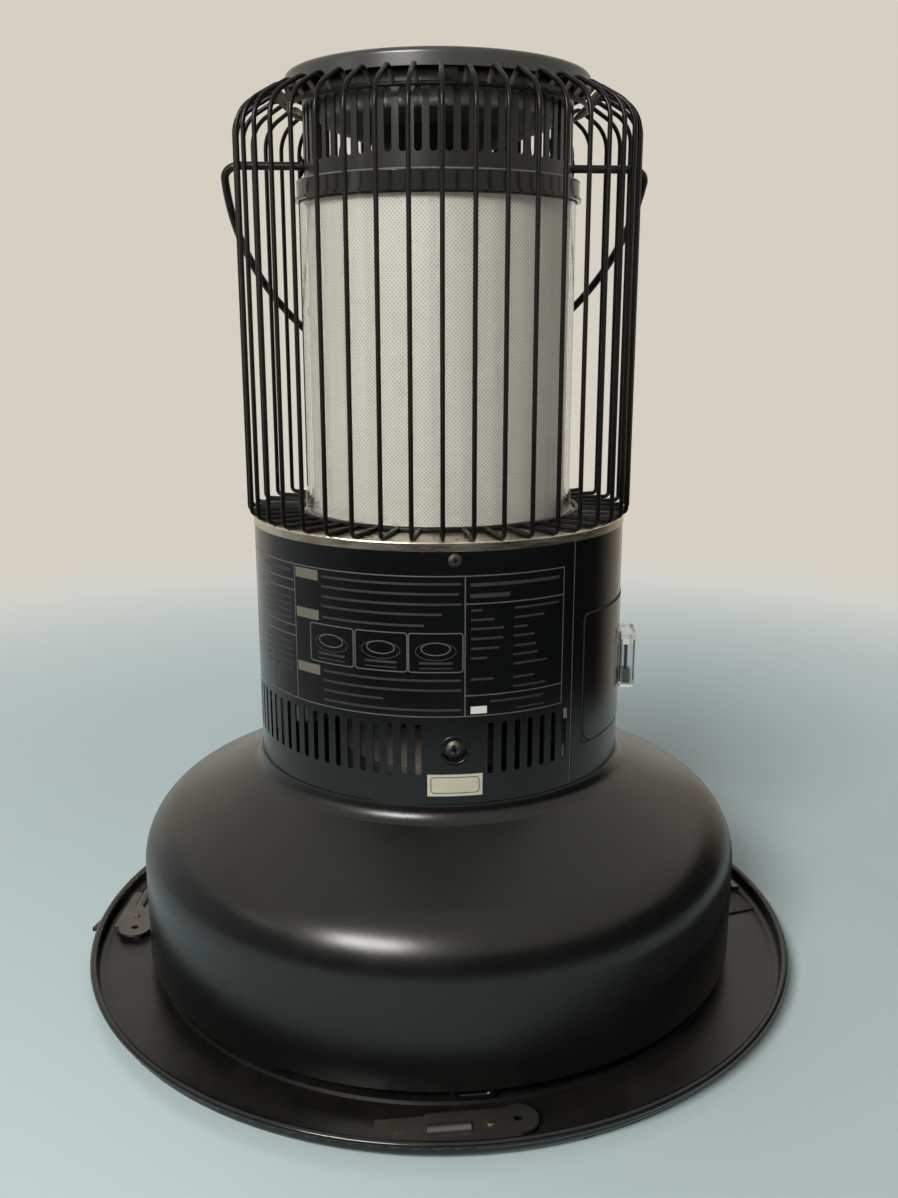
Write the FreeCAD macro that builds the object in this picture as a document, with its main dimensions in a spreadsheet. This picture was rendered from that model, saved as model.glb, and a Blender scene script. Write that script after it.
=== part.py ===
import FreeCAD, Part
import math
import os
import re
import Sketcher
from FreeCAD import Placement, Rotation, Vector

# A round paraffin heater with a wick, standing in its drip tray.
# Millimetres, +Z up, origin on the floor under the heater's axis.
# The rear faces +Y and the controls face -Y. Angles round the heater are in degrees,
# counted from the rear centre line towards -X.

# Driving sizes
SIZES = {
    # drip tray and its foot plates
    "foot_thickness": 2.0,
    "foot_depth": 46.0,
    "foot_rear_angle": 19.5,
    "foot_rear_inset": 7.0,
    "foot_rear_width": 28.0,
    "foot_left_angle": 103.2,
    "foot_left_proud": 1.5,
    "foot_left_width": 46.0,
    "foot_right_angle": -108.0,
    "foot_right_proud": 1.0,
    "foot_right_width": 97.0,
    "tray_margin": 32.2,
    "tray_sheet": 0.8,
    "tray_height": 9.6,
    "tray_bead_radius": 1.8,
    "tray_wall_inset": 2.6,
    "tray_bend": 3.4,
    "tray_step_inset": 4.5,
    "tray_step_rise": 1.5,
    "tray_step_slope": 0.8,
    # retaining clips
    "clip_length": 49.5,
    "clip_margin": 4.9,
    "clip_sheet": 1.2,
    "clip_gap": 1.6,
    "clip_end_radius": 9.0,
    "clip_end_shift": 2.5,
    "clip_hole_radius": 2.0,
    "clip_bead_radius": 3.2,
    "clip_bead_length": 19.0,
    "clip_bead_shift": 1.5,
    "clip_plate_sheet": 1.0,
    "clip_plate_shift": 2.0,
    "clip_plate_lead": 22.0,
    "clip_rear_angle": 1.8,
    "clip_left_angle": 104.8,
    "clip_right_angle": -96.7,
    "rivet_radius": 1.2,
    "rivet_collar_radius": 2.6,
    "rivet_head_radius": 1.8,
    "rivet_head_height": 0.8,
    "rivet_offset": 3.1,
    # tank
    "tank_radius": 161.8,
    "tank_sheet": 1.0,
    "tank_lift": 8.2,
    "tank_slope": 26.5,
    "tank_base_recess": 2.0,
    "shoulder_round": 32.4,
    "neck_radius": 97.2,
    "neck_stub": 6.4,
    "neck_round": 8.5,
    "leg_wire_radius": 2.0,
    "leg_span": 19.0,
    "leg_bend": 4.0,
    "leg_inset": 5.6,
    "leg_angle": 1.2,
    "leg_count": 3,
    # filler
    "filler_angle": 215.0,
    "filler_bore": 17.0,
    "filler_wall": 2.0,
    "filler_dip": 18.0,
    "filler_rise": 23.0,
    "cap_wall": 3.7,
    "cap_skirt": 12.4,
    "cap_top": 3.8,
    "cap_clearance": 0.3,
    "cap_rib_count": 24,
    "cap_rib_radius": 0.9,
    "seal_thickness": 2.0,
    # fuel gauge
    "gauge_angle": 147.0,
    "gauge_bore": 18.0,
    "gauge_wall": 1.2,
    "gauge_rise": 15.0,
    "gauge_depth": 42.0,
    "gauge_window_thickness": 2.0,
    "gauge_window_drop": 1.0,
    "gauge_rod_radius": 1.5,
    "gauge_guide_gap": 0.3,
    "float_radius": 16.0,
    "float_height": 12.0,
    "float_floor_gap": 1.0,
    "indicator_radius": 14.0,
    "indicator_height": 2.5,
    # wick and its tubes
    "draught_radius": 36.0,
    "tube_sheet": 1.0,
    "wick_gap": 0.5,
    "wick_thickness": 3.5,
    "wick_drop": 2.0,
    "wick_foot": 7.0,
    "holder_gap": 0.2,
    "holder_sheet": 1.0,
    "holder_rise": 5.4,
    "holder_length": 79.0,
    "wick_tube_radius": 43.0,
    "chamber_radius": 53.0,
    "chamber_drop": 48.0,
    "chamber_hang": 8.0,
    "seat_drop": 5.0,
    "seat_radius": 60.0,
    # wick drive
    "knob_rise": 44.4,
    "tooth_module": 1.25,
    "pinion_teeth": 10,
    "pinion_width": 3.4,
    "pinion_circle": 46.5,
    "tooth_share": 0.38,
    "rack_below": 21.0,
    "rack_above": 11.0,
    "rack_back": 3.5,
    "bridge_below": 15.0,
    "bridge_above": 5.0,
    "shaft_radius": 3.0,
    "running_gap": 0.05,
    "bush_radius": 7.0,
    "bush_lead": 2.5,
    "bush_flange_radius": 10.0,
    "bush_flange": 1.8,
    "bush_tail": 12.0,
    "knob_radius": 22.0,
    "knob_depth": 18.0,
    "knob_gap": 2.0,
    "knob_skirt": 4.0,
    "knob_skirt_radius": 24.0,
    "knob_grip_width": 9.0,
    "knob_socket": 12.0,
    # casing
    "casing_base": 120.6,
    "casing_radius": 96.6,
    "casing_sheet": 0.8,
    "casing_height": 122.4,
    "seam_angle": 37.7,
    "seam_gap": 0.4,
    "rear_span": 165.0,
    "strap_width": 10.0,
    "strap_sheet": 1.0,
    "strap_gap": 0.1,
    "low_slot_width": 2.9,
    "low_slot_length": 25.5,
    "low_slot_rise": 14.6,
    "low_slot_pitch": 4.06,
    "low_slot_start": 10.2,
    "low_slots_right": 7,
    "low_slots_left": 24,
    "dimple_rise": 27.2,
    "dimple_radius": 6.65,
    "dimple_depth": 3.0,
    "screw_head_radius": 4.2,
    "screw_head_height": 2.2,
    "screw_shank_radius": 1.9,
    "screw_length": 8.0,
    "top_screw_drop": 4.1,
    "top_screw_scale": 0.76,
    # bright deck plate
    "deck_radius": 96.9,
    "deck_sheet": 1.0,
    "deck_rim": 4.5,
    "deck_hole": 63.0,
    "deck_round": 0.8,
    # control fascia
    "fascia_sheet": 2.5,
    "fascia_seat_gap": 0.15,
    "fascia_span": 72.0,
    "fascia_bottom_rise": 17.4,
    "fascia_height": 88.0,
    # ignition
    "lever_angle": 202.0,
    "lever_rise": 79.4,
    "lever_pivot": 75.0,
    "lever_inner": 66.0,
    "lever_clear": 7.75,
    "lever_width": 6.0,
    "lever_depth": 4.0,
    "lever_boss": 6.0,
    "lever_pin_radius": 2.0,
    "lever_travel": 20.0,
    "lever_slot_margin": 1.2,
    "paddle_length": 13.0,
    "paddle_width": 18.0,
    "paddle_depth": 6.0,
    "bracket_sheet": 2.0,
    "bracket_width": 14.0,
    "bracket_gap": 0.3,
    "bracket_foot": 3.6,
    "igniter_post_radial": 80.0,
    "igniter_post_side": 15.0,
    "igniter_post_radius": 3.5,
    "igniter_pin_radius": 2.0,
    "igniter_length": 36.0,
    "igniter_rest_angle": 250.0,
    "igniter_arm_width": 4.0,
    "igniter_arm_depth": 3.0,
    "igniter_head_radius": 2.5,
    "igniter_head_height": 5.0,
    "igniter_level": 2.7,
    # stop button
    "stop_angle": 158.0,
    "stop_rise": 61.4,
    "stop_stem_radius": 4.0,
    "stop_head_radius": 8.0,
    "stop_head_depth": 5.0,
    "stop_travel": 5.0,
    "stop_stand_off": 0.4,
    "stop_stem_lead": 2.0,
    "guide_wall_gap": 5.8,
    "guide_depth": 12.0,
    "guide_width": 18.0,
    # quake pendulum
    "quake_angle": -70.0,
    "quake_pivot_rise": 64.4,
    "quake_pin_radius": 1.5,
    "quake_circle": 75.0,
    "quake_hub_radius": 4.0,
    "quake_hub_depth": 5.0,
    "quake_rod": 3.0,
    "quake_rod_length": 22.0,
    "quake_bob_radius": 12.0,
    "quake_bob_height": 18.0,
    "quake_wall_gap": 4.3,
    "quake_plate_sheet": 2.0,
    "quake_plate_width": 16.0,
    "quake_foot": 8.0,
    # battery compartment
    "battery_angle": 82.6,
    "battery_span": 80.0,
    "battery_rise": 18.9,
    "battery_height": 66.0,
    "battery_corner": 8.0,
    "cover_gap": 0.4,
    "cover_sheet": 1.6,
    "cover_proud": 0.4,
    "box_wall": 1.5,
    "box_margin": 1.5,
    "box_depth": 28.6,
    "cell_radius": 13.0,
    "cell_height": 48.5,
    "cell_nub_radius": 3.3,
    "cell_nub": 1.5,
    "cell_count": 4,
    "cell_pitch": 19.0,
    # clear case on the battery cover
    "case_seat_gap": 0.3,
    "case_depth": 8.0,
    "case_width": 18.0,
    "case_height": 26.6,
    "case_wall": 1.2,
    "case_rise": 31.2,
    "case_lid": 4.0,
    "case_plug": 3.0,
    "spare_base_height": 7.0,
    "spare_base_width": 10.0,
    "spare_lead_radius": 0.7,
    "spare_lead_pitch": 4.0,
    "spare_lead_length": 14.0,
    # burner
    "burner_lift": 0.3,
    "burner_sheet": 1.0,
    "burner_wall": 62.0,
    "burner_flange": 70.0,
    "burner_ring_inner": 44.6,
    "window_start": -28.0,
    "window_span": 48.0,
    "window_height": 6.7,
    "inner_flame_radius": 34.0,
    "inner_flame_height": 90.0,
    "inner_flame_lift": 2.0,
    "outer_flame_radius": 46.0,
    "outer_flame_height": 105.0,
    "flame_hole_radius": 1.6,
    "flame_hole_count": 18,
    "flame_hole_rows": 5,
    "flame_hole_step": 14.0,
    "flame_hole_first": 30.0,
    "flame_cap_radius": 40.0,
    "flame_cap_height": 6.0,
    "pin_radius": 1.2,
    "pin_rise": 9.0,
    "pin_count": 3,
    "screen_radius": 65.4,
    "screen_sheet": 1.0,
    "screen_gap": 0.75,
    "glass_radius": 68.4,
    "glass_wall": 1.8,
    "glass_height": 155.0,
    "glass_clip_gap": 0.4,
    "glass_clip_sheet": 0.8,
    "glass_clip_width": 8.0,
    "glass_clip_height": 8.0,
    "burner_rod_radius": 1.75,
    "burner_rod_rise": 5.8,
    "burner_rod_reach": 112.0,
    "burner_ball_radius": 7.0,
    # guard
    "guard_radius": 99.7,
    "guard_wire_radius": 1.1,
    "guard_count": 44,
    "guard_turn": 0.8,
    "guard_base_bend": 2.6,
    "guard_top_bend": 16.0,
    "guard_hook_bend": 4.0,
    "guard_slope": 30.0,
    "guard_peak_radius": 80.0,
    "guard_peak_drop": 7.6,
    "guard_hook_length": 9.0,
    "guard_hook_slope": 45.0,
    "guard_ring_radius": 72.5,
    "guard_weld_gap": 0.05,
    # vent head and top plate
    "collar_overlap": 3.85,
    "collar_height": 9.3,
    "collar_gap": 0.6,
    "collar_sheet": 0.9,
    "collar_lip": 0.9,
    "collar_lip_height": 1.5,
    "vent_inset": 3.9,
    "vent_sheet": 1.0,
    "vent_flange": 10.0,
    "vent_slot_count": 60,
    "vent_slot_width": 3.6,
    "vent_slot_length": 27.0,
    "vent_slot_rise": 16.3,
    "plate_overhang": 8.1,
    "plate_sheet": 1.0,
    "plate_rim": 7.8,
    "plate_round": 2.5,
    "vent_height": 57.6,
    "liner_radius": 58.0,
    "liner_sheet": 1.0,
    "liner_depth": 19.0,
    "liner_cone": 15.5,
    "liner_flat_radius": 14.0,
    "plate_bracket_count": 3,
    "plate_bracket_width": 6.0,
    "plate_bracket_sheet": 1.6,
    # bail handle
    "bail_rise": 17.0,
    "bail_wire_radius": 2.0,
    "bail_half_width": 105.0,
    "bail_reach": 150.0,
    "bail_corner": 8.0,
    "bail_end_round": 80.0,
    "bail_inner": 62.0,
    "bail_head_radius": 3.0,
    "bail_head": 1.2,
    "bail_tilt": 45.5,
    "bail_bush_radius": 3.4,
    "bail_bush_flange": 4.6,
    "bail_bush_lip": 1.0,
}

# Sizes and levels that follow from the driving sizes
LEVELS = {
    "tray_radius": "tank_radius + tray_margin",
    "tray_step_radius": "tank_radius - tray_step_inset",
    "tray_floor": "foot_thickness + tray_sheet",
    "tray_top": "foot_thickness + tray_height",
    "tray_wall": "tray_radius - tray_wall_inset",
    "tray_bead_level": "tray_top - tray_bead_radius",
    "tray_step_level": "foot_thickness + tray_step_rise",
    "clip_radius": "(tank_radius + tray_wall - tray_sheet) / 2",
    "clip_width": "tray_wall - tray_sheet - tank_radius - 2 * clip_margin",
    "clip_plate_width": "clip_width - clip_plate_shift",
    "clip_plate_top": "tray_floor + clip_plate_sheet",
    "clip_level": "clip_plate_top + clip_gap",
    "tank_bottom": "tray_step_level + tray_sheet + tank_lift",
    "tank_base_level": "tank_bottom + tank_base_recess",
    "tank_floor": "tank_base_level + tank_sheet",
    "tank_inner": "tank_radius - tank_sheet",
    "neck_inner": "neck_radius - tank_sheet",
    "neck_corner": "casing_base - neck_stub",
    "shoulder_corner": "neck_corner - (tank_radius - neck_radius) * tan(tank_slope)",
    "sheet_drop": "tank_sheet / cos(tank_slope) - tank_sheet * tan(tank_slope)",
    "neck_corner_inner": "neck_corner - sheet_drop",
    "shoulder_corner_inner": "shoulder_corner - sheet_drop",
    "leg_circle": "tank_radius - leg_inset",
    "filler_circle": "(neck_radius + tank_radius) / 2",
    "filler_seat": "neck_corner - (filler_circle - neck_radius) * tan(tank_slope)",
    "filler_outer": "filler_bore + filler_wall",
    "filler_top": "filler_seat + filler_rise",
    "cap_inner": "filler_outer + cap_clearance",
    "cap_outer": "cap_inner + cap_wall",
    "seal_level": "filler_top + cap_clearance / 3",
    "cap_ceiling": "seal_level + seal_thickness + cap_clearance / 3",
    "cap_top_level": "cap_ceiling + cap_top",
    "gauge_circle": "(neck_radius + tank_radius) / 2",
    "gauge_seat": "neck_corner - (gauge_circle - neck_radius) * tan(tank_slope)",
    "gauge_top": "gauge_seat + gauge_rise",
    "gauge_bottom": "gauge_top - gauge_depth",
    "gauge_outer": "gauge_bore + gauge_wall",
    "gauge_window_top": "gauge_top - gauge_window_drop",
    "float_bottom": "tank_floor + float_floor_gap",
    "indicator_bottom": "gauge_bottom + gauge_wall + float_floor_gap",
    "casing_top": "casing_base + casing_height",
    "tube_top": "casing_top - seat_drop",
    "chamber_top": "tube_top - chamber_drop",
    "draught_inner": "draught_radius - tube_sheet",
    "wick_inner": "draught_radius + wick_gap",
    "wick_outer": "wick_inner + wick_thickness",
    "wick_top": "tube_top - wick_drop",
    "wick_bottom": "tank_floor + wick_foot",
    "holder_inner": "wick_outer + holder_gap",
    "holder_outer": "holder_inner + holder_sheet",
    "holder_bottom": "casing_base + holder_rise",
    "holder_top": "holder_bottom + holder_length",
    "wick_tube_inner": "wick_tube_radius - tube_sheet",
    "chamber_inner": "chamber_radius - tube_sheet",
    "seat_top": "tube_top + tube_sheet",
    "pitch_radius": "tooth_module * pinion_teeth / 2",
    "casing_inner": "casing_radius - casing_sheet",
    "deck_top": "casing_top + deck_rim",
    "fascia_inner": "casing_radius + fascia_seat_gap",
    "fascia_outer": "fascia_inner + fascia_sheet",
    "fascia_bottom": "casing_base + fascia_bottom_rise",
    "knob_height": "casing_base + knob_rise",
    "lever_height": "casing_base + lever_rise",
    "stop_height": "casing_base + stop_rise",
    "lever_reach": "fascia_outer + lever_clear + paddle_length",
    "guide_start": "casing_inner - guide_wall_gap - guide_depth",
    "stop_stem_start": "guide_start - stop_stem_lead",
    "quake_plate_start": "casing_inner - quake_wall_gap - quake_plate_sheet",
    "knob_back": "fascia_outer + knob_gap",
    "knob_front": "knob_back + knob_depth",
    "battery_bottom": "casing_base + battery_rise",
    "battery_top": "battery_bottom + battery_height",
    "cover_outer": "casing_radius + cover_proud",
    "cover_inner": "cover_outer - cover_sheet",
    "box_outer": "casing_inner - strap_gap",
    "box_inner": "box_outer - box_depth",
    "box_floor": "battery_bottom - box_margin",
    "box_ceiling": "battery_top + box_margin",
    "case_start": "cover_outer + case_seat_gap",
    "case_bottom": "casing_base + case_rise",
    "case_top": "case_bottom + case_height",
    "burner_bottom": "seat_top + burner_lift",
    "burner_ring_top": "burner_bottom + burner_sheet",
    "burner_flange_level": "deck_top + burner_lift + running_gap",
    "burner_deck": "burner_flange_level + burner_sheet",
    "inner_flame_bottom": "tube_top + inner_flame_lift",
    "inner_flame_top": "inner_flame_bottom + inner_flame_height",
    "pin_level": "burner_deck + pin_rise",
    "screen_inner": "screen_radius - screen_sheet",
    "glass_inner": "glass_radius - glass_wall",
    "burner_rod_level": "burner_deck + burner_rod_rise",
    "collar_rise": "burner_deck + glass_height - collar_overlap",
    "screen_top": "collar_rise - screen_gap",
    "plate_top": "collar_rise + vent_height",
    "bail_height": "collar_rise + bail_rise",
    "guard_circle": "guard_radius - guard_wire_radius",
    "guard_base_level": "deck_top + guard_wire_radius + guard_weld_gap",
    "guard_peak": "plate_top - guard_peak_drop",
    "collar_inner": "glass_radius + collar_gap",
    "collar_outer": "collar_inner + collar_sheet",
    "collar_top": "collar_rise + collar_height",
    "vent_radius": "collar_outer - vent_inset",
    "vent_inner": "vent_radius - vent_sheet",
    "plate_radius": "vent_radius + plate_overhang",
    "plate_under": "plate_top - plate_sheet",
    "plate_rim_bottom": "plate_top - plate_rim",
    "liner_bend": "plate_under - vent_sheet - liner_depth",
    "liner_low": "liner_bend - liner_cone",
    "bush_bore": "shaft_radius + running_gap",
}

doc = FreeCAD.newDocument("paraffin_heater")
sheet = doc.addObject("Spreadsheet::Sheet", "sizes")
for row, (alias, number) in enumerate(SIZES.items(), start=1):
    sheet.set("A%d" % row, alias)
    sheet.set("B%d" % row, str(number))
    sheet.setAlias("B%d" % row, alias)
doc.recompute()
levels = doc.addObject("App::VarSet", "levels")


def bound(text):
    """An expression in which each size or level name is tied to its cell or property."""
    def tie(match):
        name = match.group()
        if name in SIZES:
            return "sizes." + name
        if name in LEVELS:
            return "levels." + name
        return name
    return re.sub(r"[a-z_]+", tie, text)


for level_name, rule in LEVELS.items():
    levels.addProperty("App::PropertyFloat", level_name)
    levels.setExpression(level_name, bound(rule))
doc.recompute()


def size(name):
    """The number held by a driving size or by a level."""
    if name in SIZES:
        return float(sheet.get(name))
    return float(getattr(levels, name))


parts = {}


def keep(label, piece):
    """Name a finished sub-part and put it on the list of pieces to write."""
    piece.Label = label
    parts[label] = piece
    return piece


def around(angle, height=0.0):
    """Turns a piece drawn along +X to an angle round the heater, counted from the rear centre line."""
    return Placement(Vector(0, 0, height), Rotation(Vector(0, 0, 1), 90 + angle))


def radial(angle, height):
    """Lays a piece turned about its own Z axis along the radius at an angle and a height."""
    return around(angle, height).multiply(Placement(Vector(), Rotation(Vector(0, 1, 0), 90)))


def upright(angle, circle, side=0.0):
    """Stands a piece turned about its own Z axis at an angle and a distance from the heater's axis."""
    return around(angle).multiply(Placement(Vector(circle, side, 0), Rotation()))


def lathe(label, outline, rounds=(), span="360", placement=None):
    """A turned piece: a closed outline of radius and height expressions, with rounded corners."""
    body = doc.addObject("PartDesign::Body", label)
    sketch = body.newObject("Sketcher::SketchObject", label + "_outline")
    plane = [item for item in body.Origin.OriginFeatures if item.Role == "XZ_Plane"][0]
    sketch.AttachmentSupport = [(plane, "")]
    sketch.MapMode = "FlatFace"
    count = len(outline)
    for corner in range(count):
        start = Vector(10 + corner, corner * corner, 0)
        end = Vector(10 + (corner + 1) % count, ((corner + 1) % count) ** 2, 0)
        sketch.addGeometry(Part.LineSegment(start, end), False)
    for corner in range(count):
        sketch.addConstraint(Sketcher.Constraint("Coincident", corner, 2, (corner + 1) % count, 1))
    for corner, (radius, height) in enumerate(outline):
        if radius == "0":
            sketch.addConstraint(Sketcher.Constraint("PointOnObject", corner, 1, -2))
        else:
            number = sketch.addConstraint(Sketcher.Constraint("DistanceX", -1, 1, corner, 1, 10.0 + corner))
            sketch.renameConstraint(number, "radius_%d" % corner)
            sketch.setExpression("Constraints.radius_%d" % corner, bound(radius))
        number = sketch.addConstraint(Sketcher.Constraint("DistanceY", -1, 1, corner, 1, 1.0 + corner))
        sketch.renameConstraint(number, "height_%d" % corner)
        sketch.setExpression("Constraints.height_%d" % corner, bound(height))
    turn = body.newObject("PartDesign::Revolution", label + "_turn")
    turn.Profile = sketch
    turn.ReferenceAxis = (sketch, ["V_Axis"])
    turn.setExpression("Angle", bound(span))
    doc.recompute()
    for number, (corner, radius) in enumerate(rounds):
        point = sketch.Geometry[corner].StartPoint
        base = body.Tip
        edges = []
        for index, edge in enumerate(base.Shape.Edges, start=1):
            circle = edge.Curve
            if not isinstance(circle, Part.Circle):
                continue
            if abs(circle.Radius - point.x) < 1e-4 and abs(circle.Center.z - point.y) < 1e-4:
                edges.append("Edge%d" % index)
        fillet = body.newObject("PartDesign::Fillet", "%s_round_%d" % (label, number))
        fillet.Base = (base, edges)
        fillet.setExpression("Radius", bound(radius))
        body.Tip = fillet
        doc.recompute()
    if placement is not None:
        body.Placement = placement
    return body


def tube(label, inner, outer, bottom, top, placement=None):
    """A plain turned sleeve between two radii and two heights."""
    outline = [(inner, bottom), (outer, bottom), (outer, top), (inner, top)]
    return lathe(label, outline, placement=placement)


def rod(label, radius, bottom, top, placement=None):
    """A plain turned bar between two heights."""
    outline = [("0", bottom), (radius, bottom), (radius, top), ("0", top)]
    return lathe(label, outline, placement=placement)


def block(label, length, width, height, placement):
    """A box of bound sizes, centred on its width, with its lower inner edge at its placement."""
    box = doc.addObject("Part::Box", label)
    box.setExpression("Length", bound(length))
    box.setExpression("Width", bound(width))
    box.setExpression("Height", bound(height))
    doc.recompute()
    half = Placement(Vector(0, -box.Width.Value / 2, 0), Rotation())
    box.Placement = placement.multiply(half)
    return box


def shaped(label, shape):
    """A piece whose shape is worked out from the sheet's sizes."""
    piece = doc.addObject("Part::Feature", label)
    piece.Shape = shape
    return piece


def joined(label, pieces):
    """Pieces welded or drawn as one solid."""
    union = doc.addObject("Part::MultiFuse", label)
    union.Shapes = pieces
    union.Refine = True
    return union


def cut(label, base, tools):
    """A piece with holes, slots or windows taken out of it."""
    if len(tools) == 1:
        tool = tools[0]
    else:
        tool = doc.addObject("Part::Compound", label + "_cutters")
        tool.Links = tools
    result = doc.addObject("Part::Cut", label)
    result.Base = base
    result.Tool = tool
    result.Refine = True
    return result


def moved(shape, placement):
    """A copy of a shape carried to a placement."""
    copy = shape.copy()
    copy.Placement = placement.multiply(copy.Placement)
    return copy


def copies(label, piece, placements):
    """Identical separate solids, one for each placement of a master piece."""
    doc.recompute()
    solids = [moved(solid, place) for place in placements for solid in piece.Shape.Solids]
    return shaped(label, Part.makeCompound(solids))


def slot_shape(width, length, depth_start, depth_end):
    """A round-ended upright slot, cut along +X, with its lower end at the origin's height."""
    half = width / 2
    low = Vector(depth_start, 0, half)
    high = Vector(depth_start, 0, length - half)
    side = Vector(0, half, 0)
    rise = Vector(0, 0, half)
    edges = [
        Part.LineSegment(low + side, high + side).toShape(),
        Part.Arc(high + side, high + rise, high - side).toShape(),
        Part.LineSegment(high - side, low - side).toShape(),
        Part.Arc(low - side, low - rise, low + side).toShape(),
    ]
    return Part.Face(Part.Wire(edges)).extrude(Vector(depth_end - depth_start, 0, 0))


def bent_path(points, bends):
    """Straight runs through the points, joined by tangent arcs of the given radii."""
    edges = []
    start = points[0]
    for index in range(1, len(points) - 1):
        corner = points[index]
        back = (points[index - 1] - corner).normalize()
        ahead = (points[index + 1] - corner).normalize()
        half_angle = back.getAngle(ahead) / 2
        bend = bends[index - 1]
        run = bend / math.tan(half_angle)
        bisector = (back + ahead).normalize()
        middle = corner + bisector * (bend / math.sin(half_angle) - bend)
        enter = corner + back * run
        leave = corner + ahead * run
        edges.append(Part.LineSegment(start, enter).toShape())
        edges.append(Part.Arc(enter, middle, leave).toShape())
        start = leave
    edges.append(Part.LineSegment(start, points[-1]).toShape())
    return Part.Wire(edges)


def wire_along(path, radius):
    """A round wire swept along a path of runs and arcs."""
    first = path.Edges[0]
    start = first.valueAt(first.FirstParameter)
    ahead = first.tangentAt(first.FirstParameter)
    ring = Part.Wire([Part.Circle(start, ahead, radius).toShape()])
    return path.makePipeShell([ring], True, False)


# Drip tray: a shallow pan with a raised middle and a rim rolled round a wire
tray_pan = lathe("tray_pan", [
    ("0", "tray_step_level"),
    ("tray_step_radius", "tray_step_level"),
    ("tray_step_radius + tray_step_slope", "foot_thickness"),
    ("tray_wall", "foot_thickness"),
    ("tray_wall", "tray_bead_level"),
    ("tray_wall - tray_sheet", "tray_bead_level"),
    ("tray_wall - tray_sheet", "tray_floor"),
    ("tray_step_radius + tray_step_slope", "tray_floor"),
    ("tray_step_radius", "tray_step_level + tray_sheet"),
    ("0", "tray_step_level + tray_sheet"),
], rounds=[(3, "tray_bend + tray_sheet"), (6, "tray_bend")])
tray_bead = doc.addObject("Part::Torus", "tray_bead")
tray_bead.setExpression("Radius1", bound("tray_radius - tray_bead_radius"))
tray_bead.setExpression("Radius2", bound("tray_bead_radius"))
tray_bead.Placement.Base.z = size("tray_bead_level")
keep("drip_tray", joined("drip_tray", [tray_pan, tray_bead]))

# Foot plates under the tray: the rear one stays under the rim, the corners of those at the sides stand proud
foot_flush = size("tray_radius") - size("foot_depth")
rear_foot = block(
    "rear_foot", "foot_depth", "foot_rear_width", "foot_thickness",
    upright(size("foot_rear_angle"), foot_flush - size("foot_rear_inset")))
left_foot = block(
    "left_foot", "foot_depth", "foot_left_width", "foot_thickness",
    upright(size("foot_left_angle"), foot_flush + size("foot_left_proud")))
right_foot = block(
    "right_foot", "foot_depth", "foot_right_width", "foot_thickness",
    upright(size("foot_right_angle"), foot_flush + size("foot_right_proud")))
foot_shapes = [foot.Shape for foot in (rear_foot, left_foot, right_foot)]
keep("tray_feet", shaped("tray_feet", Part.makeCompound(foot_shapes)))

# Retaining clips: a plate on the tray floor, a beaded strip above it and a brass rivet through both
clip_angles = [size("clip_rear_angle"), size("clip_left_angle"), size("clip_right_angle")]
clip_start = size("clip_radius") - size("clip_width") / 2
clip_half = size("clip_length") / 2
rivet_spot = Vector(size("clip_radius"), size("rivet_offset"), 0)
rivet_hole = Part.makeCylinder(size("rivet_radius") + size("running_gap"), size("tray_top"), rivet_spot)
clip_end = Vector(
    size("clip_radius") - size("clip_end_shift"),
    clip_half - size("clip_end_radius"),
    size("clip_level"),
)
clip_strip = Part.makeBox(
    size("clip_width"),
    size("clip_length") - size("clip_end_radius"),
    size("clip_sheet"),
    Vector(clip_start, -clip_half, size("clip_level")),
)
clip_round = Part.makeCylinder(size("clip_end_radius"), size("clip_sheet"), clip_end)
clip_foot = Part.makeBox(
    size("clip_width"),
    size("clip_sheet"),
    size("clip_gap") + size("clip_sheet"),
    Vector(clip_start, -clip_half, size("clip_plate_top")),
)
clip_bead_spot = Vector(
    size("clip_radius") + size("clip_bead_shift"),
    -clip_half,
    size("clip_level") + size("clip_sheet") / 2,
)
clip_bead_round = Part.makeCylinder(
    size("clip_bead_radius"), size("clip_bead_length"), clip_bead_spot, Vector(0, 1, 0))
clip_bead_above = Part.makeBox(
    size("clip_width"),
    size("clip_bead_length"),
    size("clip_bead_radius"),
    clip_bead_spot - Vector(size("clip_width") / 2, 0, 0),
)
clip_bead = clip_bead_round.common(clip_bead_above)
clip_hole = Part.makeCylinder(size("clip_hole_radius"), size("tray_top"), Vector(clip_end.x, clip_end.y, 0))
clip_shape = clip_strip.fuse([clip_round, clip_foot, clip_bead]).removeSplitter().cut([rivet_hole, clip_hole])
clip_master = shaped("clip_master", clip_shape)
keep("tray_clips", copies("tray_clips", clip_master, [around(angle) for angle in clip_angles]))
plate_shape = Part.makeBox(
    size("clip_plate_width"),
    size("clip_plate_lead") + size("clip_length") - 2 * size("clip_end_radius"),
    size("clip_plate_sheet"),
    Vector(clip_start - size("clip_plate_shift"), -clip_half - size("clip_plate_lead"), size("tray_floor")),
)
clip_plate_master = shaped("clip_plate_master", plate_shape.cut(rivet_hole))
keep("clip_plates", copies("clip_plates", clip_plate_master, [around(angle) for angle in clip_angles]))
rivet_master = lathe("rivet_master", [
    ("0", "tray_floor"),
    ("rivet_radius", "tray_floor"),
    ("rivet_radius", "clip_plate_top"),
    ("rivet_collar_radius", "clip_plate_top"),
    ("rivet_collar_radius", "clip_level"),
    ("rivet_radius", "clip_level"),
    ("rivet_radius", "clip_level + clip_sheet"),
    ("rivet_head_radius", "clip_level + clip_sheet"),
    ("rivet_head_radius", "clip_level + clip_sheet + rivet_head_height / 2"),
    ("rivet_radius", "clip_level + clip_sheet + rivet_head_height"),
    ("0", "clip_level + clip_sheet + rivet_head_height"),
])
rivet_places = [upright(angle, size("clip_radius"), size("rivet_offset")) for angle in clip_angles]
keep("clip_rivets", copies("clip_rivets", rivet_master, rivet_places))

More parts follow.
